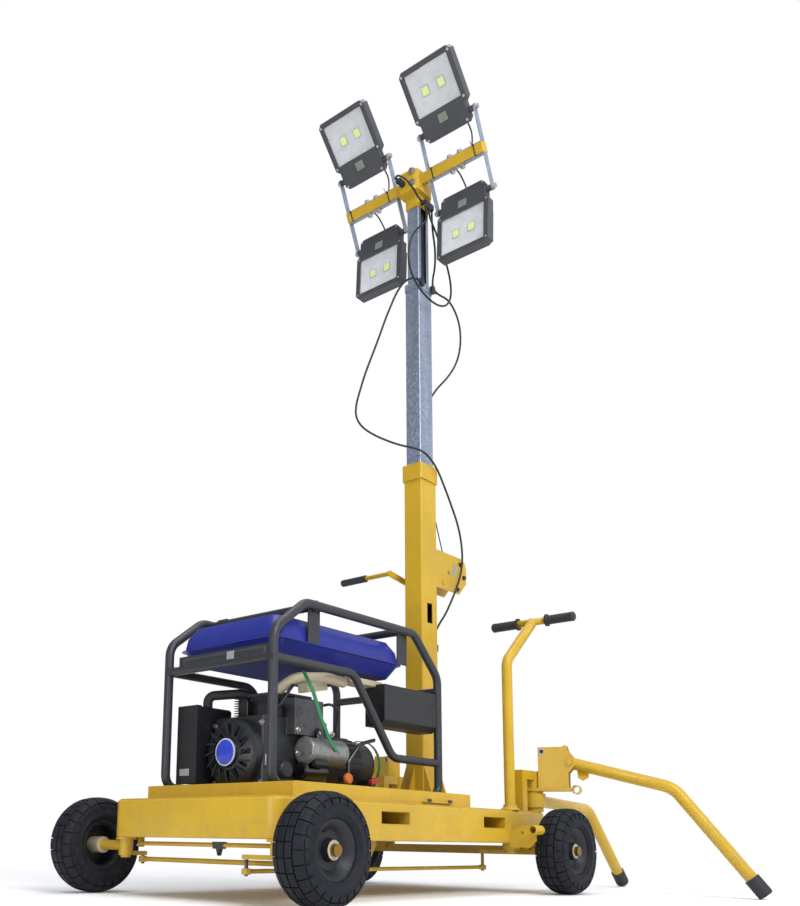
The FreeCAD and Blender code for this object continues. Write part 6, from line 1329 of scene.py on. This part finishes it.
class TOWER_OT_stage(Operator):
    """Camera, white surroundings, pale floor and soft studio light"""

    bl_idname = "tower.stage"
    bl_label = "Stage"

    def execute(self, context):
        scene = context.scene
        lens = bpy.data.cameras.new("camera")
        lens.lens = 38.007
        lens.sensor_width = 36
        lens.shift_x = 0.1270
        lens.shift_y = 0.2449
        lens.clip_end = 100
        camera = bpy.data.objects.new("camera", lens)
        turn = (Matrix.Rotation(math.radians(132.7476), 4, "Z") @ Matrix.Rotation(math.radians(99.7835), 4, "X")
                @ Matrix.Rotation(math.radians(0.91223), 4, "Z"))
        camera.matrix_world = Matrix.Translation(at(2804.68, 2285.476, 191.066)) @ turn
        scene.collection.objects.link(camera)
        scene.camera = camera
        scene.view_settings.view_transform = "Standard"
        scene.view_settings.look = "None"

        world = bpy.data.worlds.new("studio")
        world.use_nodes = True
        tree = world.node_tree
        tree.nodes.clear()
        seen = add(tree, "ShaderNodeLightPath")
        clear = add(tree, "ShaderNodeMath", {0: seen.outputs["Is Camera Ray"], 1: seen.outputs["Is Transmission Ray"]},
                    operation="MAXIMUM")
        white = add(tree, "ShaderNodeBackground", {"Color": (1, 1, 1, 1), "Strength": 1.0})
        way = add(tree, "ShaderNodeTexCoord").outputs["Generated"]
        side = add(tree, "ShaderNodeVectorMath", {0: way, 1: (-0.55, 0.8, 0.25)}, operation="DOT_PRODUCT")
        power = add(tree, "ShaderNodeMapRange", {"Value": side.outputs["Value"], "From Min": -0.9, "From Max": 0.9,
                                                 "To Min": 0.3, "To Max": 0.96}, interpolation_type="SMOOTHSTEP")
        soft = add(tree, "ShaderNodeBackground", {"Color": (0.92, 0.95, 1, 1), "Strength": power.outputs[0]})
        mixed = add(tree, "ShaderNodeMixShader", {0: clear.outputs[0], 1: soft.outputs[0], 2: white.outputs[0]})
        add(tree, "ShaderNodeOutputWorld", {"Surface": mixed.outputs[0]})
        scene.world = world

        area_light("key", (2.5, 5.5, 5.0), (0.2, 0, 1.2), 3.0, 290)
        area_light("front", (4.4, 0.6, 0.5), (1.1, 0, 0.3), 1.6, 34)
        area_light("top", (0.4, 0.4, 6.5), (0.2, 0, 0.5), 3.0, 115)

        floor = Form()
        floor.block((0, 0, -10), (120000, 120000, 20), "floor")
        made = bpy.data.objects.new("studio_floor", floor.mesh("studio_floor"))
        scene.collection.objects.link(made)
        return {"FINISHED"}


OPERATORS = (TOWER_OT_stage, TOWER_OT_cables, TOWER_OT_cart, TOWER_OT_wheels, TOWER_OT_steering, TOWER_OT_legs,
             TOWER_OT_mast, TOWER_OT_winch, TOWER_OT_head, TOWER_OT_lamps, TOWER_OT_generator_frame, TOWER_OT_tank,
             TOWER_OT_engine, TOWER_OT_engine_parts)


class TOWER_PT_panel(Panel):
    """Buttons and settings of the light tower"""

    bl_label = "Light Tower"
    bl_idname = "TOWER_PT_panel"
    bl_space_type = "VIEW_3D"
    bl_region_type = "UI"
    bl_category = "Light Tower"

    def draw(self, context):
        for settings in (context.scene.tower_colours, context.scene.tower_sizes):
            for key in settings.__annotations__:
                self.layout.prop(settings, key)
        for operator in OPERATORS:
            self.layout.operator(operator.bl_idname)


CLASSES = (TowerColours, TowerSizes, *OPERATORS, TOWER_PT_panel)


def register():
    """Adds the settings, operators and panel."""
    for item in CLASSES:
        bpy.utils.register_class(item)
    bpy.types.Scene.tower_colours = PointerProperty(type=TowerColours)
    bpy.types.Scene.tower_sizes = PointerProperty(type=TowerSizes)


def unregister():
    """Takes them away again."""
    del bpy.types.Scene.tower_sizes
    del bpy.types.Scene.tower_colours
    for item in reversed(CLASSES):
        bpy.utils.unregister_class(item)


def main():
    """Builds the stage and every piece in order."""
    register()
    make_finishes(bpy.context.scene.tower_colours)
    TREES.update({"copies": copies_tree(), "bolts": bolts_tree()})
    for operator in OPERATORS:
        space, name = operator.bl_idname.split(".")
        getattr(getattr(bpy.ops, space), name)()


if __name__ == "__main__":
    main()
